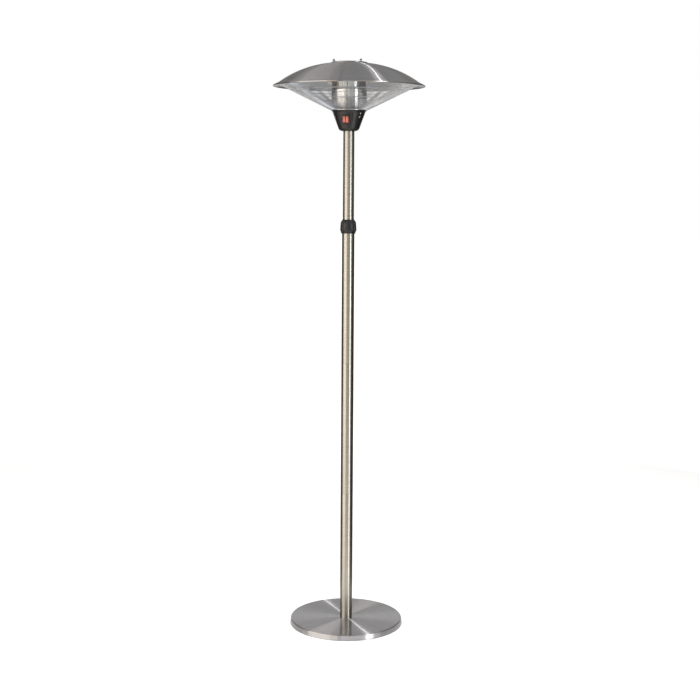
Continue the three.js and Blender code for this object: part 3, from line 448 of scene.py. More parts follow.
def plain(name, colour, values, grains, detail=2.0, rough=None, dents=None, second=None):
    """A finish with noise of so many grains a metre, which spreads its roughness between two
    values, dents it (depth in mm, strength) or blends its colour into a second one."""
    material, tree, shader = surface(name, colour, values)
    noise = grit(tree, add(tree, "ShaderNodeTexCoord").outputs["Object"], grains, detail)
    if rough:
        fill(tree, shader, {"Roughness": spread(tree, noise, *rough)})
    if dents:
        fill(tree, shader, {"Normal": relief(tree, noise, *dents)})
    if second:
        fill(tree, shader, {"Base Color": blend(tree, noise, colour, second)})
    return material


def brushed(name, dark, light, anisotropic, run, rough):
    """Steel with its grain round the pole, in dark and light hairlines: the streaks of light
    run across the grain. More than half of its gloss is drawn out farther, as the steep walls
    of the deeper scratches do. The hairlines are drawn coarser than real ones, which are too
    fine to show."""
    material, tree, shader = surface(name, light, {"Metallic": 1.0, "Anisotropic": anisotropic,
                                                   "Anisotropic Rotation": 0.25})
    fine = grit(tree, round_grain(tree, run), 1.0, 3.0)
    lines = blend(tree, spread(tree, fine, 0.0, 1.0), dark, light)
    tangent = add(tree, "ShaderNodeTangent", direction_type="RADIAL", axis="Z")
    fill(tree, shader, {"Base Color": lines, "Roughness": spread(tree, fine, *rough),
                        "Normal": relief(tree, fine, 0.01, 0.08), "Tangent": tangent})
    scratches = add(tree, "ShaderNodeBsdfAnisotropic",
                    {"Color": lines, "Roughness": SCRATCH_ROUGHNESS,
                     "Anisotropy": SCRATCH_STRETCH, "Tangent": tangent})
    mixed = add(tree, "ShaderNodeMixShader", {0: SCRATCH_SHARE, 1: shader, 2: scratches})
    fill(tree, tree.nodes["Material Output"], {"Surface": mixed})
    return material


HAIRLINE_PITCH = 0.9
SCRATCH_SHARE, SCRATCH_ROUGHNESS, SCRATCH_STRETCH = 0.6, 0.28, 0.88
METAL = {"Metallic": 1.0}

# Spun 430 stainless, satin-brushed while it turned: rings of fine grain, and light drawn
# out into streaks from the middle to the rim.
SPUN_STEEL = brushed("spun_stainless_satin", "#bbb9ba", "#cecccd", 1.0, 90.0, (0.195, 0.225))
# Drawn 304 tube, ground between belts: bands of light stay sharp round the tube.
TUBE_STEEL = brushed("drawn_stainless_tube_ground", "#c1bcb2", "#d6d1c7", 0.9, 40.0,
                     (0.20, 0.27))
# Rolled bright stainless sheet: a near mirror with the faint waves of thin rolled metal.
BRIGHT_SHEET = plain("bright_rolled_stainless_sheet", "#e3e4e4", {**METAL, "Roughness": 0.06},
                     22.0, 1.0, dents=(0.5, 0.35))
# Spring wire, bright zinc plated: cool grey, a little blurred by the drawn surface.
PLATED_WIRE = plain("plated_spring_wire", "#dde1e8", METAL, 900.0, rough=(0.22, 0.4))
# Zinc plated mild steel: pale, with the cloudy spots of a barrel-plated batch.
ZINC_STEEL = plain("zinc_plated_steel", "#b9bab6", METAL, 180.0, 3.0, rough=(0.26, 0.46))
# Zinc plating with a yellow passivate: small nuts that look like dull brass.
YELLOW_ZINC = plain("zinc_plated_yellow_passivate", "#8f7f6c", METAL, 900.0, rough=(0.24, 0.38))
# Stainless screws, bright turned: they catch a small hard light.
BRIGHT_SCREW = plain("turned_stainless_fastener", "#d9d6cf", METAL, 1500.0, rough=(0.14, 0.28))
# ABS moulded in a lightly spark-eroded tool: near black, satin, a fine 0.4 mm grain.
BLACK_ABS = plain("abs_black_spark_grain", "#212023", {"IOR": 1.52}, 2500.0,
                  rough=(0.3, 0.4), dents=(0.012, 0.6))
# The same plastic from a polished tool, as switch frames have: black with a soft shine.
GLOSS_ABS = plain("abs_black_polished_tool", "#0e0e0f", {"IOR": 1.52}, 400.0, rough=(0.18, 0.28))
# Tinted polycarbonate, polished: a clear red with some depth, as light goes into it.
RED_LENS = plain("polycarbonate_red_translucent", "#d4534b",
                 {"Roughness": 0.12, "IOR": 1.58, "Subsurface Weight": 0.35,
                  "Subsurface Radius": (0.004, 0.001, 0.001),
                  "Coat Weight": 0.4, "Coat Roughness": 0.06}, 160.0, second="#f59488")
# EPDM rubber pads: matt, slightly dusty black.
RUBBER = plain("epdm_rubber_matt", "#1a1a1a", {"IOR": 1.5}, 700.0, 3.0, rough=(0.75, 0.95),
               dents=(0.05, 0.5))
# Grey cast iron, sand cast and left raw: coarse dark skin.
CAST_IRON = plain("grey_iron_sand_cast", "#47464a", {**METAL, "Roughness": 0.7}, 600.0, 4.0,
                  dents=(0.3, 0.7))
# Fused quartz tube with a thin gold filter: clear, warm at its edges.
QUARTZ = plain("fused_quartz_gold_filter", "#f3d9a6", {"IOR": 1.458, "Transmission Weight": 1.0},
               300.0, rough=(0.02, 0.05))
# Tungsten wire wound into a coil: dark grey metal.
TUNGSTEN = plain("tungsten_coil_wire", "#6c6863", METAL, 3000.0, rough=(0.35, 0.55))
# Steatite, pressed and fired: chalky off-white with a faint speckle.
STEATITE = plain("steatite_fired", "#d8d2c5", {"Roughness": 0.6, "IOR": 1.6}, 1200.0, 3.0,
                 second="#efeae0")
# Natural nylon 6, moulded: milky, faintly shiny.
NYLON = plain("nylon_natural_moulded", "#d8d5ca",
              {"IOR": 1.53, "Subsurface Weight": 0.15,
               "Subsurface Radius": (0.003, 0.0025, 0.002)}, 300.0, rough=(0.36, 0.5))

# -------- node trees for what repeats


def copies_round(tree, given, geometry):
    """Nodes that set copies of a geometry round the pole, the first at the start angle."""
    points = add(tree, "GeometryNodePoints", {"Count": given["Copies"]})
    step = calc(tree, "DIVIDE", 2 * math.pi, given["Copies"])
    index = add(tree, "GeometryNodeInputIndex")
    angle = calc(tree, "MULTIPLY_ADD", index, step, given["Start"])
    return add(tree, "GeometryNodeInstanceOnPoints",
               {"Points": points, "Instance": geometry, "Rotation": combined(tree, z=angle)})


def swept(tree, curve, radius, sides):
    """Nodes that give a curve a round section, with its ends closed."""
    section = add(tree, "GeometryNodeCurvePrimitiveCircle",
                  {"Resolution": sides, "Radius": radius}, mode="RADIUS")
    return add(tree, "GeometryNodeCurveToMesh",
               {"Curve": curve, "Profile Curve": section, "Fill Caps": True})


def raised(tree, curve, height, offset=None):
    """Nodes that shift a curve up to a height, and by an offset if there is one."""
    lift = combined(tree, z=height)
    if offset:
        lift = vector_calc(tree, "ADD", offset, lift)
    return add(tree, "GeometryNodeSetPosition", {"Geometry": curve, "Offset": lift})


def lamp_arc(tree, given, resolution, wider):
    """Nodes for an arc round the pole; it leaves the lamp's opening free, made wider by a
    factor."""
    start = calc(tree, "MULTIPLY_ADD", given["Opening"], 0.5 * wider, math.pi / 2)
    sweep = calc(tree, "MULTIPLY_ADD", given["Opening"], -wider, 2 * math.pi)
    return add(tree, "GeometryNodeCurveArc",
               {"Resolution": resolution, "Radius": given["Radius"],
                "Start Angle": start, "Sweep Angle": sweep}, mode="RADIUS")


def ring_tree():
    """Copies of a mesh, set evenly round the pole."""
    tree, given = shape_tree("copies_round_the_pole", Copies="Int", Start="Float")
    return closed(tree, given, copies_round(tree, given, given["Geometry"]))


def wire_tree():
    """A fan of straight wires, each from a foot to a tip."""
    tree, given = shape_tree("fan_of_straight_wires", Copies="Int", Start="Float",
                             Foot="Vector", Tip="Vector", Wire_radius="Float")
    line = add(tree, "GeometryNodeCurvePrimitiveLine",
               {"Start": given["Foot"], "End": given["Tip"]}, mode="POINTS")
    wire = swept(tree, line, given["Wire_radius"], WIRE_SIDES)
    return closed(tree, given, copies_round(tree, given, wire))


def hoop_tree():
    """A hoop of round wire at a height."""
    tree, given = shape_tree("hoop", Radius="Float", Height="Float", Wire_radius="Float")
    circle = add(tree, "GeometryNodeCurvePrimitiveCircle",
                 {"Resolution": HOOP_POINTS, "Radius": given["Radius"]}, mode="RADIUS")
    hoop = raised(tree, circle, given["Height"])
    return closed(tree, given, swept(tree, hoop, given["Wire_radius"], WIRE_SIDES))


def lamp_tree():
    """A ring lamp's open tube, with its bore."""
    tree, given = shape_tree("ring_lamp_tube", Radius="Float", Height="Float",
                             Opening="Float", Tube_radius="Float", Bore_radius="Float")
    bow = raised(tree, lamp_arc(tree, given, LAMP_POINTS, 1.0), given["Height"])
    bore = add(tree, "GeometryNodeFlipFaces",
               {0: swept(tree, bow, given["Bore_radius"], BORE_SIDES)})
    both = add(tree, "GeometryNodeJoinGeometry",
               {0: swept(tree, bow, given["Tube_radius"], LAMP_SIDES)})
    tree.links.new(bore.outputs[0], both.inputs[0])
    return closed(tree, given, both)


def coil_tree():
    """The coil inside a ring lamp, wound about the lamp's arc and a little shorter than it."""
    tree, given = shape_tree("lamp_filament_coil", Radius="Float", Height="Float",
                             Opening="Float", Coil_radius="Float", Wire_radius="Float",
                             Turns="Int")
    count = calc(tree, "MULTIPLY_ADD", given["Turns"], TURN_STEPS, 1)
    bow = lamp_arc(tree, given, count, 1.5)
    phase = calc(tree, "MULTIPLY", add(tree, "GeometryNodeInputIndex"), 2 * math.pi / TURN_STEPS)
    outward = vector_calc(tree, "NORMALIZE", add(tree, "GeometryNodeInputPosition"))
    sideways = scaled(tree, outward, calc(tree, "COSINE", phase))
    off = vector_calc(tree, "ADD", sideways, combined(tree, z=calc(tree, "SINE", phase)))
    wound = raised(tree, bow, given["Height"], scaled(tree, off, given["Coil_radius"]))
    return closed(tree, given, swept(tree, wound, given["Wire_radius"], COIL_SIDES))


def groove_tree():
    """Grooves pressed into the outside of a turned shape, evenly round it, with round ends."""
    tree, given = shape_tree("grooves_round_a_side", Copies="Int", Start="Float", Depth="Float",
                             Half_width="Float", Middle="Float", Half_length="Float")
    x, y, z = add(tree, "ShaderNodeSeparateXYZ",
                  {0: add(tree, "GeometryNodeInputPosition")}).outputs
    flat = combined(tree, x, y)

    # Sideways from the nearest groove's middle line, and past the end of its straight length.
    angle = calc(tree, "ARCTAN2", x, calc(tree, "MULTIPLY", y, -1.0))
    step = calc(tree, "DIVIDE", 2 * math.pi, given["Copies"])
    turns = calc(tree, "DIVIDE", calc(tree, "SUBTRACT", angle, given["Start"]), step)
    part = calc(tree, "FRACT", calc(tree, "ADD", turns, 0.5))
    away = calc(tree, "MULTIPLY", calc(tree, "SUBTRACT", part, 0.5), step)
    across = calc(tree, "MULTIPLY", away, length(tree, flat))
    up = calc(tree, "ABSOLUTE", calc(tree, "SUBTRACT", z, given["Middle"]))
    past = calc(tree, "MAXIMUM", calc(tree, "SUBTRACT", up, given["Half_length"]), 0.0)

    # The depth falls off as a parabola, and holds on the outside alone.
    far = length(tree, combined(tree, across, past))
    far = calc(tree, "MINIMUM", calc(tree, "DIVIDE", far, given["Half_width"]), 1.0)
    bowl = calc(tree, "SUBTRACT", 1.0, calc(tree, "MULTIPLY", far, far))
    mark = add(tree, "GeometryNodeInputNamedAttribute", {"Name": "outside"}, data_type="FLOAT")
    deep = calc(tree, "MULTIPLY", calc(tree, "MULTIPLY", bowl, given["Depth"]), mark)
    inward = scaled(tree, vector_calc(tree, "NORMALIZE", flat), calc(tree, "MULTIPLY", deep, -1.0))
    return closed(tree, given, add(tree, "GeometryNodeSetPosition",
                                   {"Geometry": given["Geometry"], "Offset": inward}))


RING_TREE, WIRE_TREE, HOOP_TREE = ring_tree(), wire_tree(), hoop_tree()
LAMP_TREE, COIL_TREE, GROOVE_TREE = lamp_tree(), coil_tree(), groove_tree()


def around(mesh, finish, copies, radius=0.0):
    """Copies of a mesh evenly round the pole, moved out to a radius, the first ones half a step
    off the switch."""
    mesh = moved(mesh, Matrix.Translation((0, -radius, 0)))
    return grown(RING_TREE, finish, mesh, Copies=copies, Start=math.pi / copies)


def tube(bore, radius, low, high, angles, *edge):
    """A length of tube; its outer edges may be rounded."""
    return turned([(bore, low), (radius, low, *edge), (radius, high, *edge), (bore, high)],
                  angles)


# -------- base

hole = LOWER_TUBE_R + GAP
top, foot = BASE_TOP_Z, FOOT_H
edge = COVER_TOP_R + COVER_FLARE
bead_bore = edge - COVER_T - BEAD_ROOM
cover = turned([
    (hole, top), (COVER_TOP_R, top, COVER_EDGE_R),
    (edge - BEAD_PROUD, foot + BEAD_SHOULDER_H, 1.0), (edge, foot + BEAD_H, 0.5),
    (edge, foot, 0.4), (bead_bore, foot, 0.3), (bead_bore, foot + BEAD_BORE_H),
    (COVER_TOP_R - COVER_T, top - COVER_T, COVER_EDGE_R - 1), (hole, top - COVER_T),
], 256)
piece("base_cover_skin", cover, SPUN_STEEL, "stand", ["base_cover"])

rib = [(0, 0), (RIB_SLOPE, RIB_RISE), (RIB_SLOPE + RIB_W, RIB_RISE), (2 * RIB_SLOPE + RIB_W, 0)]
plate = turned([
    (0, PLATE_Z), *[(start + r, PLATE_Z + z) for start in RIB_RADII for r, z in rib],
    (PLATE_R, PLATE_Z, 0.4), (PLATE_R, PLATE_Z + PLATE_T, 0.4), (0, PLATE_Z + PLATE_T),
], 192)
piece("base_bottom_plate", plate, ZINC_STEEL, "stand", ["base_plate"])

pad = turned([
    (0, PAD_HOLLOW_H), (PAD_HOLLOW_R, PAD_HOLLOW_H), (PAD_HOLLOW_R + 0.4, 0),
    (FOOT_R - 0.2, 0, 0.5), (FOOT_R, FOOT_H, 0.3), (0, FOOT_H),
], 48)
piece("foot_pads", around(pad, RUBBER, FOOT_COUNT, FOOT_CIRCLE_R), RUBBER, "stand",
      [f"foot_{n}" for n in range(1, 5)])

# -------- pole

for n, z in enumerate(TUBE_Z, 1):
    section = tube(LOWER_TUBE_R - TUBE_WALL, LOWER_TUBE_R, z, z + SECTION_L, 128, CUT_EDGE)
    piece(f"pole_section_{n}", section, TUBE_STEEL, "stand", [f"lower_tube_{n}"])
upper = tube(UPPER_TUBE_R - TUBE_WALL, UPPER_TUBE_R, LOWER_TOP_Z - UPPER_INSIDE,
             HOUSING_Z + UPPER_IN_HOUSING, 128, CUT_EDGE)
piece("inner_pole", upper, TUBE_STEEL, "head", ["upper_tube"])

grip = UPPER_TUBE_R + GAP
flange = SLEEVE_R + SLEEVE_FLANGE
top = LOWER_TOP_Z + SLEEVE_H
sleeve = turned([
    (hole, SLEEVE_Z), (flange, SLEEVE_Z, 1.0), (flange, SLEEVE_Z + SLEEVE_FLANGE_T, 0.4),
    (SLEEVE_R, SLEEVE_Z + SLEEVE_FLANGE_T), (SLEEVE_R, top - SLEEVE_TAPER), (grip + 1, top),
    (grip, top), (grip, LOWER_TOP_Z + GAP), (hole, LOWER_TOP_Z + GAP),
], 96)
for n in range(SLEEVE_SLITS):
    slit = block(SLIT_W, SLEEVE_R * 2, SLIT_L * 2, 0, -SLEEVE_R, top)
    sleeve = cut(sleeve, moved(slit, Matrix.Rotation(2 * math.pi * n / SLEEVE_SLITS, 4, "Z")))
piece("pole_clamp_sleeve", sleeve, BLACK_ABS, "stand", ["clamp_sleeve"])

bore = SLEEVE_R + GAP
wide = bore + COLLAR_WALL
inner_top = SLEEVE_H + SLEEVE_SKIRT - SLEEVE_TAPER
ease = COLLAR_NARROWING / COLLAR_ROWS
rise = (COLLAR_SHOULDER - COLLAR_WAIST) / COLLAR_ROWS
collar = turned([(r, COLLAR_Z + z, *rest) for r, z, *rest in [
    (bore, 0), (bore + 0.6, 0, 0.5), (wide - 1.9, 4.0), (wide - 0.9, 5.9),
    (wide, COLLAR_FOOT + 0.8, 3.0), (wide, COLLAR_WAIST, 4.0),
    *[(wide - ease * n, COLLAR_WAIST + rise * n) for n in range(1, COLLAR_ROWS)],
    (wide - COLLAR_NARROWING, COLLAR_SHOULDER, 5.0), (grip + 4.6, COLLAR_H - 6.0),
    (grip + 2.6, COLLAR_H - 3.0, 1.0), (grip + 0.8, COLLAR_H, 0.6), (grip, COLLAR_H),
    (grip, inner_top + SLEEVE_TAPER + 4), (bore, inner_top + GAP),
]], COLLAR_RIBS * RIB_POINTS, outside=lambda r, z: r > bore + 1)
half_flute = math.sqrt(FLUTE_R ** 2 - (FLUTE_R - FLUTE_DEPTH) ** 2)
collar = grown(GROOVE_TREE, BLACK_ABS, collar, Copies=COLLAR_RIBS, Start=0.0, Depth=FLUTE_DEPTH,
               Half_width=half_flute, Middle=COLLAR_Z + COLLAR_H * 0.5,
               Half_length=COLLAR_H * 0.5 - FLUTE_END)
piece("pole_twist_collar", collar, BLACK_ABS, "twist_collar", ["twist_collar"])

# -------- control housing


def bent(start, bend, end, steps):
    """Points of a quadratic curve, without its first point."""
    return [tuple((1 - t) ** 2 * a + 2 * t * (1 - t) * b + t * t * c
                  for a, b, c in zip(start, bend, end)) for t in even(0, 1, steps)[1:]]


heel_z, throat_z = HOUSING_Z + HOUSING_HEEL_H, RIM_Z - HOUSING_THROAT_DROP
lead = HOUSING_THROAT_DROP * 0.6
bottom = (UPPER_TUBE_R + 2, HOUSING_Z)
side = [bottom, *bent(bottom, (HOUSING_HEEL_R - 3, HOUSING_Z + 1.5), (HOUSING_HEEL_R, heel_z), 12)]
side += list(zip(even(HOUSING_HEEL_R, HOUSING_THROAT_R, CONE_ROWS),
                 even(heel_z, throat_z, CONE_ROWS)))[1:]
side += bent(side[-1], (HOUSING_THROAT_R + lead * CONE_SLOPE, throat_z + lead),
             (HOUSING_RIM_R, RIM_Z), 8)
inner = [(max(r - HOUSING_WALL, grip), max(z, HOUSING_Z + HOUSING_WALL)) for r, z in side[::4]]
# The angles of its columns of points: coarse steps all round, fine ones over each groove, and of
# two that all but meet only one.
COARSE, FINE, FINE_COUNT, TOO_CLOSE = 3.0, 0.35, 13, 0.1
groove_angles = [30, 90, 120, 150, 210, 240, 270, 330]
columns = sorted({round(COARSE * n, 3) for n in range(round(360 / COARSE))}
                 | {round((g + FINE * n) % 360, 3) for g in groove_angles
                    for n in range(-FINE_COUNT, FINE_COUNT + 1)})
columns = [a for i, a in enumerate(columns) if i == 0 or a - columns[i - 1] > TOO_CLOSE]
housing = turned([(grip, HOUSING_Z), *side, *reversed(inner)], columns,
                 outside=lambda r, z: r > cone_r(z) - HOUSING_WALL / 2)
groove_half = math.sqrt(GROOVE_R ** 2 - (GROOVE_R - GROOVE_DEPTH) ** 2)
for copies, start in ((6, 30), (1, 120), (1, 240)):
    housing = grown(GROOVE_TREE, BLACK_ABS, housing, Copies=copies, Start=math.radians(start),
                    Depth=GROOVE_DEPTH, Half_width=groove_half,
                    Middle=RIM_Z - GROOVE_TOP_DROP - GROOVE_L / 2,
                    Half_length=GROOVE_L / 2 - groove_half)
pocket_w, pocket_h = ROCKER_W + 2 * GAP, 2 * (ROCKER_SWING_R + GAP)
half_w, half_h = SWITCH_WEB / 2 + pocket_w + SWITCH_WALL, pocket_h / 2 + SWITCH_WALL
SWITCH_Z = RIM_Z - SWITCH_DROP
clear = 10.0  # how far a block that cuts stands out of what it cuts
opening = moved(block(2 * (half_w + GAP), 2 * clear, 2 * (half_h + GAP)), on_cone(SWITCH_Z))
housing = cut(housing, opening)
piece("control_housing_shell", housing, BLACK_ABS, "head", ["control_housing"])

head_z = (GAP, GAP + SCREW_HEAD_H)
screw = turned([
    (0, -SCREW_L), (SCREW_SHANK_R, -SCREW_L, 0.3), (SCREW_SHANK_R, head_z[0]),
    (SCREW_HEAD_R, head_z[0], 0.2), (SCREW_HEAD_R, head_z[0] + 1.1, 0.6),
    (SCREW_HEAD_R - 1.2, head_z[1], 1.2), (0, head_z[1]),
], 48)
recess = cut(block(RECESS_W, RECESS_L, 2 * RECESS_DEPTH, 0, 0, head_z[1]),
             block(RECESS_L, RECESS_W, 2 * RECESS_DEPTH, 0, 0, head_z[1]), "UNION")
screw = moved(cut(screw, recess), FACING_OUT)
pair = joined(*[moved(screw, on_cone(RIM_Z - drop)) for drop in SCREW_DROPS])
piece("housing_screws", around(pair, BRIGHT_SCREW, STATIONS), BRIGHT_SCREW, "head",
      [f"housing_screw_{n}" for n in range(1, 7)], sharp=30)

bezel = bevelled(block(BEZEL_W, BEZEL_PROUD + BEZEL_SINK, BEZEL_H, 0,
                       (BEZEL_SINK - BEZEL_PROUD) / 2, 0), 0.9, 4)
body = block(2 * half_w, SWITCH_BODY_DEPTH, 2 * half_h, 0, SWITCH_BODY_DEPTH / 2, 0)
bezel = cut(bezel, body, "UNION")
middle = (SWITCH_WEB + pocket_w) / 2
depth = ROCKER_PIVOT_DEPTH + ROCKER_SWING_R * 0.6  # of the pockets
for sign in (-1, 1):
    pocket = block(pocket_w, depth + clear, pocket_h, sign * middle, (depth - clear) / 2, 0)
    bezel = cut(bezel, bevelled(pocket, 0.35, 2))
bezel = moved(bezel, on_cone(SWITCH_Z))
piece("switch_bezel_frame", bezel, GLOSS_ABS, "head", ["switch_bezel"], sharp=30)


def rocker(sign):
    """One rocker, left (-1) or right (1): a dished face, ends that swing about its pivot, its
    upper half pressed."""
    swing, pivot = ROCKER_SWING_R, ROCKER_PIVOT_DEPTH
    front, back = math.asin((pivot + ROCKER_TIP) / swing), math.asin((ROCKER_BACK - pivot) / swing)
    reach = swing * math.cos(front)
    half = [(-ROCKER_DISH - (ROCKER_TIP - ROCKER_DISH) * (0.7 * t + 0.3 * t * t), reach * t)
            for t in even(0, 1, 6)]
    half += [(pivot - swing * math.sin(a), swing * math.cos(a)) for a in even(front, -back, 8)[1:]]
    lower = [(y, -z) for y, z in reversed(half[1:])]
    mesh = bevelled(slab(half + lower, ROCKER_W), 0.45, 3, 50)
    about = Matrix.Translation((0, pivot, 0))
    tilt = about @ Matrix.Rotation(math.radians(-ROCKER_TILT), 4, "X") @ about.inverted()
    return moved(mesh, on_cone(SWITCH_Z) @ Matrix.Translation((sign * middle, 0, 0)) @ tilt)


for name, sign in (("left", -1), ("right", 1)):
    piece(f"rocker_lens_{name}", rocker(sign), RED_LENS, f"rocker_{name}", [f"rocker_{name}"],
          sharp=30)

# The gland: a hexagon ring round the stem of a hollow, fluted dome nut.
seat = GAP + 0.6
nut_top = seat + GLAND_HEX_L
ring_bore = STEM_R - 0.5
hexagon = bevelled(tube(ring_bore, GLAND_HEX_R, seat, nut_top, 6), 0.5, 3)
dome_nut = turned([
    (GLAND_BORE_R, -STEM_L), (STEM_R, -STEM_L), (STEM_R, nut_top - 1), (DOME_NUT_R, nut_top - 1),
    (DOME_NUT_R, nut_top + DOME_NUT_H, 1.2), (DOME_NUT_TIP_R, nut_top + GLAND_DOME_L, 0.8),
    (GLAND_BORE_R, nut_top + GLAND_DOME_L),
], 120, outside=lambda r, z: r > (STEM_R + DOME_NUT_R) / 2)
dome_nut = grown(GROOVE_TREE, BLACK_ABS, dome_nut, Copies=DOME_NUT_FLUTES, Start=0.0,
                 Depth=DOME_NUT_FLUTE_DEPTH, Half_width=DOME_NUT_FLUTE_W / 2,
                 Middle=nut_top + DOME_NUT_H / 2, Half_length=DOME_NUT_FLUTE_L / 2)
gland = joined(hexagon, dome_nut)
gland = moved(gland, on_cone(HOUSING_Z + GLAND_H, 180) @ FACING_OUT)
piece("cable_gland_nut", gland, BLACK_ABS, "head", ["cable_gland"], sharp=30)

# -------- head


def arc(arc_r, r0, r1, steps):
    """Points of one of the head's concentric arcs between two distances from the axis."""
    return [(r, ARC_Z + arc_height(arc_r, r)) for r in even(r0, r1, steps)]


top = HEAD_PLATE_Z + HEAD_PLATE_T
plate = turned([
    (WIRE_HOLE_R, HEAD_PLATE_Z, 0.3), (HEAD_PLATE_R, HEAD_PLATE_Z, 0.3),
    (HEAD_PLATE_R, top, 0.3), (WIRE_HOLE_R, top, 0.3),
], 160)
piece("head_mounting_plate", plate, ZINC_STEEL, "head", ["head_plate"])

band_r = HEAD_PLATE_R + GAP
rim_r = band_r + GUARD_BAND_T
shelf_r = HEAD_PLATE_R - GUARD_SHELF
top = HEAD_PLATE_Z + GUARD_BAND_H
band = turned([
    (shelf_r, SHELF_Z), (band_r, SHELF_Z, 0.2), (band_r, HEAD_PLATE_Z, 0.3),
    (rim_r, HEAD_PLATE_Z, 0.4), (rim_r, top, 0.4), (band_r, top, 0.3),
    (band_r, SHELF_Z + GUARD_SHELF_T), (shelf_r, SHELF_Z + GUARD_SHELF_T),
], 192)
piece("guard_band", band, BRIGHT_SHEET, "head", ["guard"])

foot = Vector((0, -(rim_r - WIRE_SINK), HEAD_PLATE_Z + WIRE_FOOT_H))
tip = Vector((0, -GUARD_EDGE_R, GUARD_TOP_Z))
wires = grown(WIRE_TREE, PLATED_WIRE, Copies=GUARD_WIRES, Start=math.pi / GUARD_WIRES,
              Foot=foot, Tip=tip, Wire_radius=GUARD_WIRE_R)
piece("guard_wires", wires, PLATED_WIRE, "head", ["guard"], sharp=50)

run = tip - foot
lift = (GUARD_WIRE_R + GUARD_RING_R - WELD_SINK) / math.cos(math.atan2(run.z, -run.y))
hoops = [grown(HOOP_TREE, PLATED_WIRE, Radius=r, Wire_radius=GUARD_RING_R,
               Height=foot.z + (r + foot.y) * run.z / -run.y + lift) for r in GUARD_RING_RADII]
hoops.append(grown(HOOP_TREE, PLATED_WIRE, Radius=GUARD_EDGE_R, Height=GUARD_TOP_Z,
                   Wire_radius=GUARD_TOP_RING_R))
piece("guard_hoops", joined(*hoops), PLATED_WIRE, "head", ["guard"], sharp=50)

drum = tube(DRUM_R - DRUM_T, DRUM_R, DRUM_Z, DRUM_TOP_Z, 192, 0.3)
piece("reflector_drum_skin", drum, BRIGHT_SHEET, "head", ["reflector_drum"])

hem_r = REFLECTOR_EDGE_R + REFLECTOR_HEM
reflector = turned([
    *arc(REFLECTOR_ARC_R, TOP_HOLE_R, REFLECTOR_EDGE_R, 32), (REFLECTOR_EDGE_R, HEM_Z, 0.5),
    (hem_r, HEM_Z, 0.3), (hem_r, HEM_Z + REFLECTOR_T, 0.3),
    (REFLECTOR_EDGE_R + REFLECTOR_T, HEM_Z + REFLECTOR_T),
    *reversed(arc(REFLECTOR_OUTER_R, TOP_HOLE_R, REFLECTOR_EDGE_R, 32)),
], 224)
piece("inner_reflector_skin", reflector, BRIGHT_SHEET, "head", ["inner_reflector"])

arc_end = DOME_R - DOME_LIP_W
lip_z = ARC_Z + arc_height(DOME_OUTER_R, arc_end) - DOME_LIP_DROP
dome = turned([
    *arc(DOME_OUTER_R, TOP_HOLE_R, arc_end, 40), (DOME_R, lip_z, 0.9),
    (DOME_R, lip_z - DOME_HEM_H, 0.9), (DOME_R - DOME_HEM_W, lip_z - DOME_HEM_H, 0.6),
    (DOME_R - DOME_HEM_W, lip_z - DOME_T), *reversed(arc(DOME_INNER_R, TOP_HOLE_R, arc_end, 40)),
], 256)
piece("dome_skin", dome, SPUN_STEEL, "head", ["dome"])

cap = turned([
    (0, CAP_TOP_Z), (CAP_FLAT_R, CAP_TOP_Z, 2.2), (CAP_R, CAP_EDGE_Z + CAP_T * 2, 0.5),
    (CAP_R, CAP_EDGE_Z, 0.3), (CAP_R - 1, CAP_EDGE_Z), (CAP_FLAT_R - 0.3, CAP_TOP_Z - CAP_T, 1.5),
    (0, CAP_TOP_Z - CAP_T),
], 192)
piece("top_cap_disc", cap, SPUN_STEEL, "head", ["top_cap"])

nut_top = NUT_SEAT_Z + NUT_H
hexagon = tube(0, NUT_R, NUT_SEAT_Z, nut_top, 6)
chamfer = turned([
    (0, NUT_SEAT_Z - 1), (NUT_R + 1, NUT_SEAT_Z - 1), (NUT_R + 1, nut_top - 1.0),
    (NUT_R - 0.6, nut_top), (0, nut_top),
], 48)
crown = turned([
    (0, nut_top - 0.5), (NUT_R * 0.8, nut_top - 0.5), (NUT_R * 0.8, nut_top + 0.4, 0.4),
    (NUT_R * 0.62, nut_top + 1.7, 0.9), (0, nut_top + NUT_DOME_H),
], 48)
nut = joined(cut(hexagon, chamfer, "INTERSECT"), crown)
piece("cap_nuts", around(nut, YELLOW_ZINC, STATIONS, ROD_CIRCLE_R), YELLOW_ZINC, "head",
      [f"cap_nut_{n}" for n in (1, 2, 3)], sharp=25)
spacer = tube(ROD_R + GAP, ROD_R + GAP + NUT_SPACER_WALL, CAP_TOP_Z + GAP,
              CAP_TOP_Z + GAP + NUT_SPACER_H, 40, 0.25)
piece("cap_nut_spacers", around(spacer, ZINC_STEEL, STATIONS, ROD_CIRCLE_R), ZINC_STEEL,
      "head", [f"nut_spacer_{n}" for n in (1, 2, 3)])

for n, drop in enumerate(LAMP_DROPS, 1):
    common = {"Radius": LAMP_CIRCLE_R, "Height": DRUM_TOP_Z - drop,
              "Opening": math.radians(LAMP_OPENING)}
    glass = grown(LAMP_TREE, QUARTZ, Tube_radius=LAMP_R, Bore_radius=LAMP_R - LAMP_WALL,
                  **common)
    piece(f"lamp_tube_{n}", glass, QUARTZ, "head", [f"ring_lamp_{n}"])
    coil = grown(COIL_TREE, TUNGSTEN, Coil_radius=COIL_R, Wire_radius=COIL_WIRE_R,
                 Turns=COIL_TURNS, **common)
    piece(f"lamp_coil_{n}", coil, TUNGSTEN, "head")

# -------- pieces the CAD shapes well

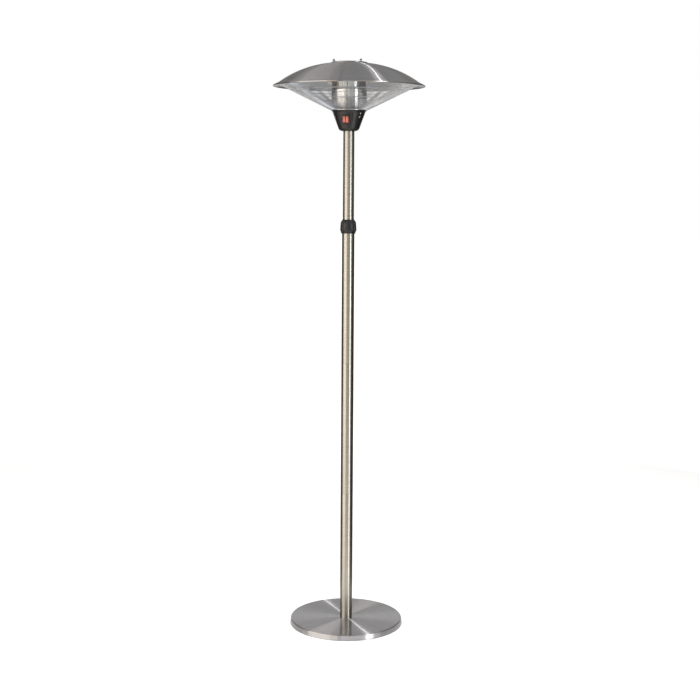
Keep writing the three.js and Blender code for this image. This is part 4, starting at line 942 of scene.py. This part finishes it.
CARRIED = {
    CAST_IRON: ["base_weight"], NYLON: ["guide_bush", "terminal_block"],
    BLACK_ABS: ["tilt_switch"], BRIGHT_SHEET: ["lamp_holder"], STEATITE: ["lamp_terminal"],
    ZINC_STEEL: ["pole_socket", "socket_screw", "tube_connector", "mast_bracket", "tie_rod",
                 "dome_spacer"],
}
for name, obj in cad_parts.items():
    for finish, starts in CARRIED.items():
        if name.startswith(tuple(starts)):
            for holder in obj.material_slots:
                holder.material = finish

# -------- studio

scene = bpy.context.scene
scene.view_settings.view_transform = "Standard"
CAMERA_AZIMUTH = 14.0


def card(name, corners, colour, strength):
    """A light-giving studio card that the heater mirrors and the camera doesn't see. Its
    corners come in pairs across it."""
    material = bpy.data.materials.new(name)
    material.use_nodes = True
    tree = material.node_tree
    tree.nodes.clear()
    lamp = add(tree, "ShaderNodeEmission", {"Color": shade(colour), "Strength": strength})
    add(tree, "ShaderNodeOutputMaterial", {"Surface": lamp})
    mesh = bpy.data.meshes.new(name)
    faces = [(n, n + 2, n + 3, n + 1) for n in range(0, len(corners) - 2, 2)]
    mesh.from_pydata(corners, [], faces)
    mesh.materials.append(material)
    obj = placed(name, mesh)
    obj.visible_camera = obj.visible_shadow = False
    return obj


def studio_place(toward, right, z):
    """A place in the studio: metres from the pole toward the camera, to its right, and up."""
    a = math.radians(CAMERA_AZIMUTH)
    return (toward * math.sin(a) + right * math.cos(a),
            -toward * math.cos(a) + right * math.sin(a), z)


def curved(name, angles, edges, colour, strength):
    """A card round the pole, at angles off the camera, between two edges of (radius, height)."""
    turns = [math.radians(a) for a in angles]
    corners = [studio_place(r * math.cos(a), r * math.sin(a), z) for a in turns for r, z in edges]
    return card(name, corners, colour, strength)


def sector(name, left, right, near, far, colour, strength):
    """A curved card of even brightness from one angle to another."""
    steps = max(2, round((right - left) / 6))
    return curved(name, even(left, right, steps), (near, far), colour, strength)


def floor_sector(name, left, right, near, far, z, colour, strength):
    """A curved card flat over the floor, which only what is shiny sees."""
    sector(name, left, right, (near, z), (far, z), colour, strength).visible_diffuse = False


def graded_wall(name, stops, low, high, colour):
    """A curved card whose brightness runs smoothly from one stop's angle to the next."""
    wall = curved(name, [a for a, _ in stops], ((WALL_R, low), (WALL_R, high)), colour, 1.0)
    levels = wall.data.attributes.new("level", "FLOAT", "POINT")
    levels.data.foreach_set("value", [level for _, level in stops for _ in (low, high)])
    tree = wall.data.materials[0].node_tree
    level = add(tree, "ShaderNodeAttribute", attribute_name="level").outputs["Fac"]
    fill(tree, tree.nodes["Emission"], {"Strength": level})


WALL_R, WALL_MIDDLE, WALL_TOP, OVERHEAD_Z, BACK_BOX_Z, CEILING_Z = 3.2, 2.5, 4.2, 4.25, 4.28, 4.3
BASE_EDGE_R, FLOOR_GLOW_R, FRONT_GLOW_R, GLOW_Z = 0.215, 0.36, 0.6, 0.004
# From one height to another: whole walls, and those whose brightness changes on the way up.
WHOLE, BACK, BACK_TOP = (0.02, WALL_MIDDLE), (0.02, 1.1), (1.1, 2.3)
FRONT, FRONT_TOP = (0.02, 1.9), (1.9, WALL_MIDDLE)
RIGHT, RIGHT_TOP = (0.02, 1.7), (1.7, WALL_MIDDLE)
WALLS = [  # angles off the camera, heights, colour, brightness of wall and floor
    ("backdrop", 152, 208, BACK, "#ffffff", 0.56, 0.4),
    ("backdrop_top", 152, 208, BACK_TOP, "#ffffff", 0.78, 0),
    ("flag_back_left", -152, -96, WHOLE, "#6e6252", 0.35, 0.7),
    ("softbox_left_edge", -96, -80, WHOLE, "#fff0dc", 0.5, 0.4),
    ("softbox_left", -80, -30, WHOLE, "#fff6ea", 2.2, 1.2),
    ("softbox_left_inner_edge", -30, -16, WHOLE, "#fff4e6", 1.15, 1.1),
    ("flag_front", -16, -11, WHOLE, "#565248", 0.5, 2.0),
    ("fill_front_pale", -11, 2, FRONT, "#f4f0e8", 0.6, 1.0),
    ("fill_front_pale_head", -11, 2, FRONT_TOP, "#f4f2ee", 1.0, 0),
    ("fill_front_grey", 2, 39, FRONT, "#f0ede6", 0.42, 0.9),
    ("fill_front_grey_head", 2, 39, FRONT_TOP, "#f0efec", 0.75, 0),
    ("strip_right", 39, 56, WHOLE, "#ffffff", 3.6, 2.4),
    ("fill_right", 56, 74, RIGHT, "#e6e8ec", 0.35, 0.4),
    ("fill_right_head", 56, 90, RIGHT_TOP, "#e9ebee", 0.45, 0),
    ("flag_back_right", 74, 152, RIGHT, "#6a5c4c", 0.22, 0.6),
    ("flag_back_right_head", 90, 152, RIGHT_TOP, "#6a5c4c", 0.3, 0),
]
HIGH_WALL = [  # angle off the camera, and the brightness there
    (-160, 0.2), (-120, 0.35), (-100, 0.7), (-84, 1.2), (-66, 1.5), (-50, 1.3), (-34, 0.85),
    (-20, 0.5), (-8, 0.38), (8, 0.38), (20, 0.45), (34, 0.8), (42, 1.9), (50, 1.9), (60, 0.9),
    (76, 0.5), (100, 0.28), (125, 0.22), (145, 0.3), (160, 0.5), (174, 0.24), (186, 0.24),
    (198, 0.5), (200, 0.2),
]
graded_wall("high_wall", HIGH_WALL, WALL_MIDDLE, WALL_TOP, "#faf9f6")
for name, left, right, (low, high), colour, wall, ground in WALLS:
    sector(name, left, right, (WALL_R, low), (WALL_R, high), colour, wall)
    if ground:  # the card runs on over the floor
        floor_sector(f"{name}_sweep", left, right, FLOOR_GLOW_R, WALL_R, GLOW_Z, colour, ground)
floor_sector("floor_glow", -180, 180, BASE_EDGE_R, FLOOR_GLOW_R, GLOW_Z, "#ffffff", 1.0)
floor_sector("front_floor_glow", -16, 39, BASE_EDGE_R, FRONT_GLOW_R, GLOW_Z + 0.001, "#ffffff",
             1.7)


def ceiling(name, back, front, left, right, z, strength):
    """A flat card overhead."""
    corners = [studio_place(a, b, z) for a, b in
               ((back, left), (front, left), (back, right), (front, right))]
    card(name, corners, "#ffffff", strength)


ceiling("ceiling_scrim", -WALL_R, WALL_R, -WALL_R, WALL_R, CEILING_Z, 0.29)
ceiling("softbox_back_left", -WALL_R, -1.0, -WALL_R, -0.9, BACK_BOX_Z, 0.38)
ceiling("softbox_back_right", -WALL_R, -1.0, 0.9, WALL_R, BACK_BOX_Z, 0.45)
ceiling("softbox_overhead", -1.0, 2.6, -2.1, 1.0, OVERHEAD_Z, 0.42)

# A far hard lamp, high up on the right, that draws the thin bright streaks across the grain of
# the base and the dome; it adds gloss only.
HARD_WATTS, HARD_R, HARD_PLACE = 520.0, 0.08, (2.3, 7.1, 13.0)
hard = bpy.data.lights.new("gloss_lamp", "POINT")
hard.energy, hard.shadow_soft_size = HARD_WATTS, HARD_R
lamp = placed("gloss_lamp", hard)
lamp.location = studio_place(*HARD_PLACE)
lamp.visible_diffuse = False


def looked_at(tree):
    """A node that gives 1 where the camera looks, straight or by way of what is shiny or
    clear, and 0 for the light that falls on things."""
    path = add(tree, "ShaderNodeLightPath").outputs
    seen = calc(tree, "MAXIMUM", path["Is Camera Ray"], path["Is Glossy Ray"])
    return calc(tree, "MAXIMUM", seen, path["Is Transmission Ray"])


FLOOR_LIFT, FLOOR_HALF, WORLD_LIGHT = 0.74, 30, 0.5

# White paper floor: it takes the heater's shadow, and shows to the camera as bright as the
# white background behind it.
floor_material, tree, shader = surface("white_paper_floor", "#f4f4f4", {
    "Roughness": 0.9, "Specular IOR Level": 0.0, "Emission Color": (1, 1, 1, 1)})
fill(tree, shader, {"Emission Strength": calc(tree, "MULTIPLY", looked_at(tree), FLOOR_LIFT)})
floor_mesh = bpy.data.meshes.new("floor")
floor_mesh.from_pydata([(x * FLOOR_HALF, y * FLOOR_HALF, 0)
                        for x, y in ((-1, -1), (1, -1), (1, 1), (-1, 1))], [], [(0, 1, 2, 3)])
floor_mesh.materials.append(floor_material)
placed("floor", floor_mesh)

world = bpy.data.worlds.new("studio")
scene.world = world
world.use_nodes = True
tree = world.node_tree
tree.nodes.clear()
soft = add(tree, "ShaderNodeBackground", {"Color": (1, 1, 1, 1), "Strength": WORLD_LIGHT})
white = add(tree, "ShaderNodeBackground", {"Color": (1, 1, 1, 1), "Strength": 1.0})
mix = add(tree, "ShaderNodeMixShader", {0: looked_at(tree), 1: soft, 2: white})
add(tree, "ShaderNodeOutputWorld", {"Surface": mix})

# -------- camera

FOCAL_PIXELS, FRAME_PIXELS, SENSOR = 1277.506, 700.0, 36.0
CAMERA_AWAY, CAMERA_UP = 4.600, 1.6588
PITCH_DOWN, ROLL, YAW_RIGHT = 7.827, 0.359, math.degrees(0.00191)
camera_data = bpy.data.cameras.new("camera")
camera_data.sensor_width = SENSOR
camera_data.lens = FOCAL_PIXELS / FRAME_PIXELS * SENSOR
camera_data.clip_end = 100.0
camera = placed("camera", camera_data)
camera.matrix_world = (
    Matrix.Translation(studio_place(CAMERA_AWAY, 0.0, CAMERA_UP))
    @ Matrix.Rotation(math.radians(CAMERA_AZIMUTH) - math.radians(YAW_RIGHT), 4, "Z")
    @ Matrix.Rotation(math.radians(90 - PITCH_DOWN), 4, "X")
    @ Matrix.Rotation(math.radians(ROLL), 4, "Z"))
scene.camera = camera
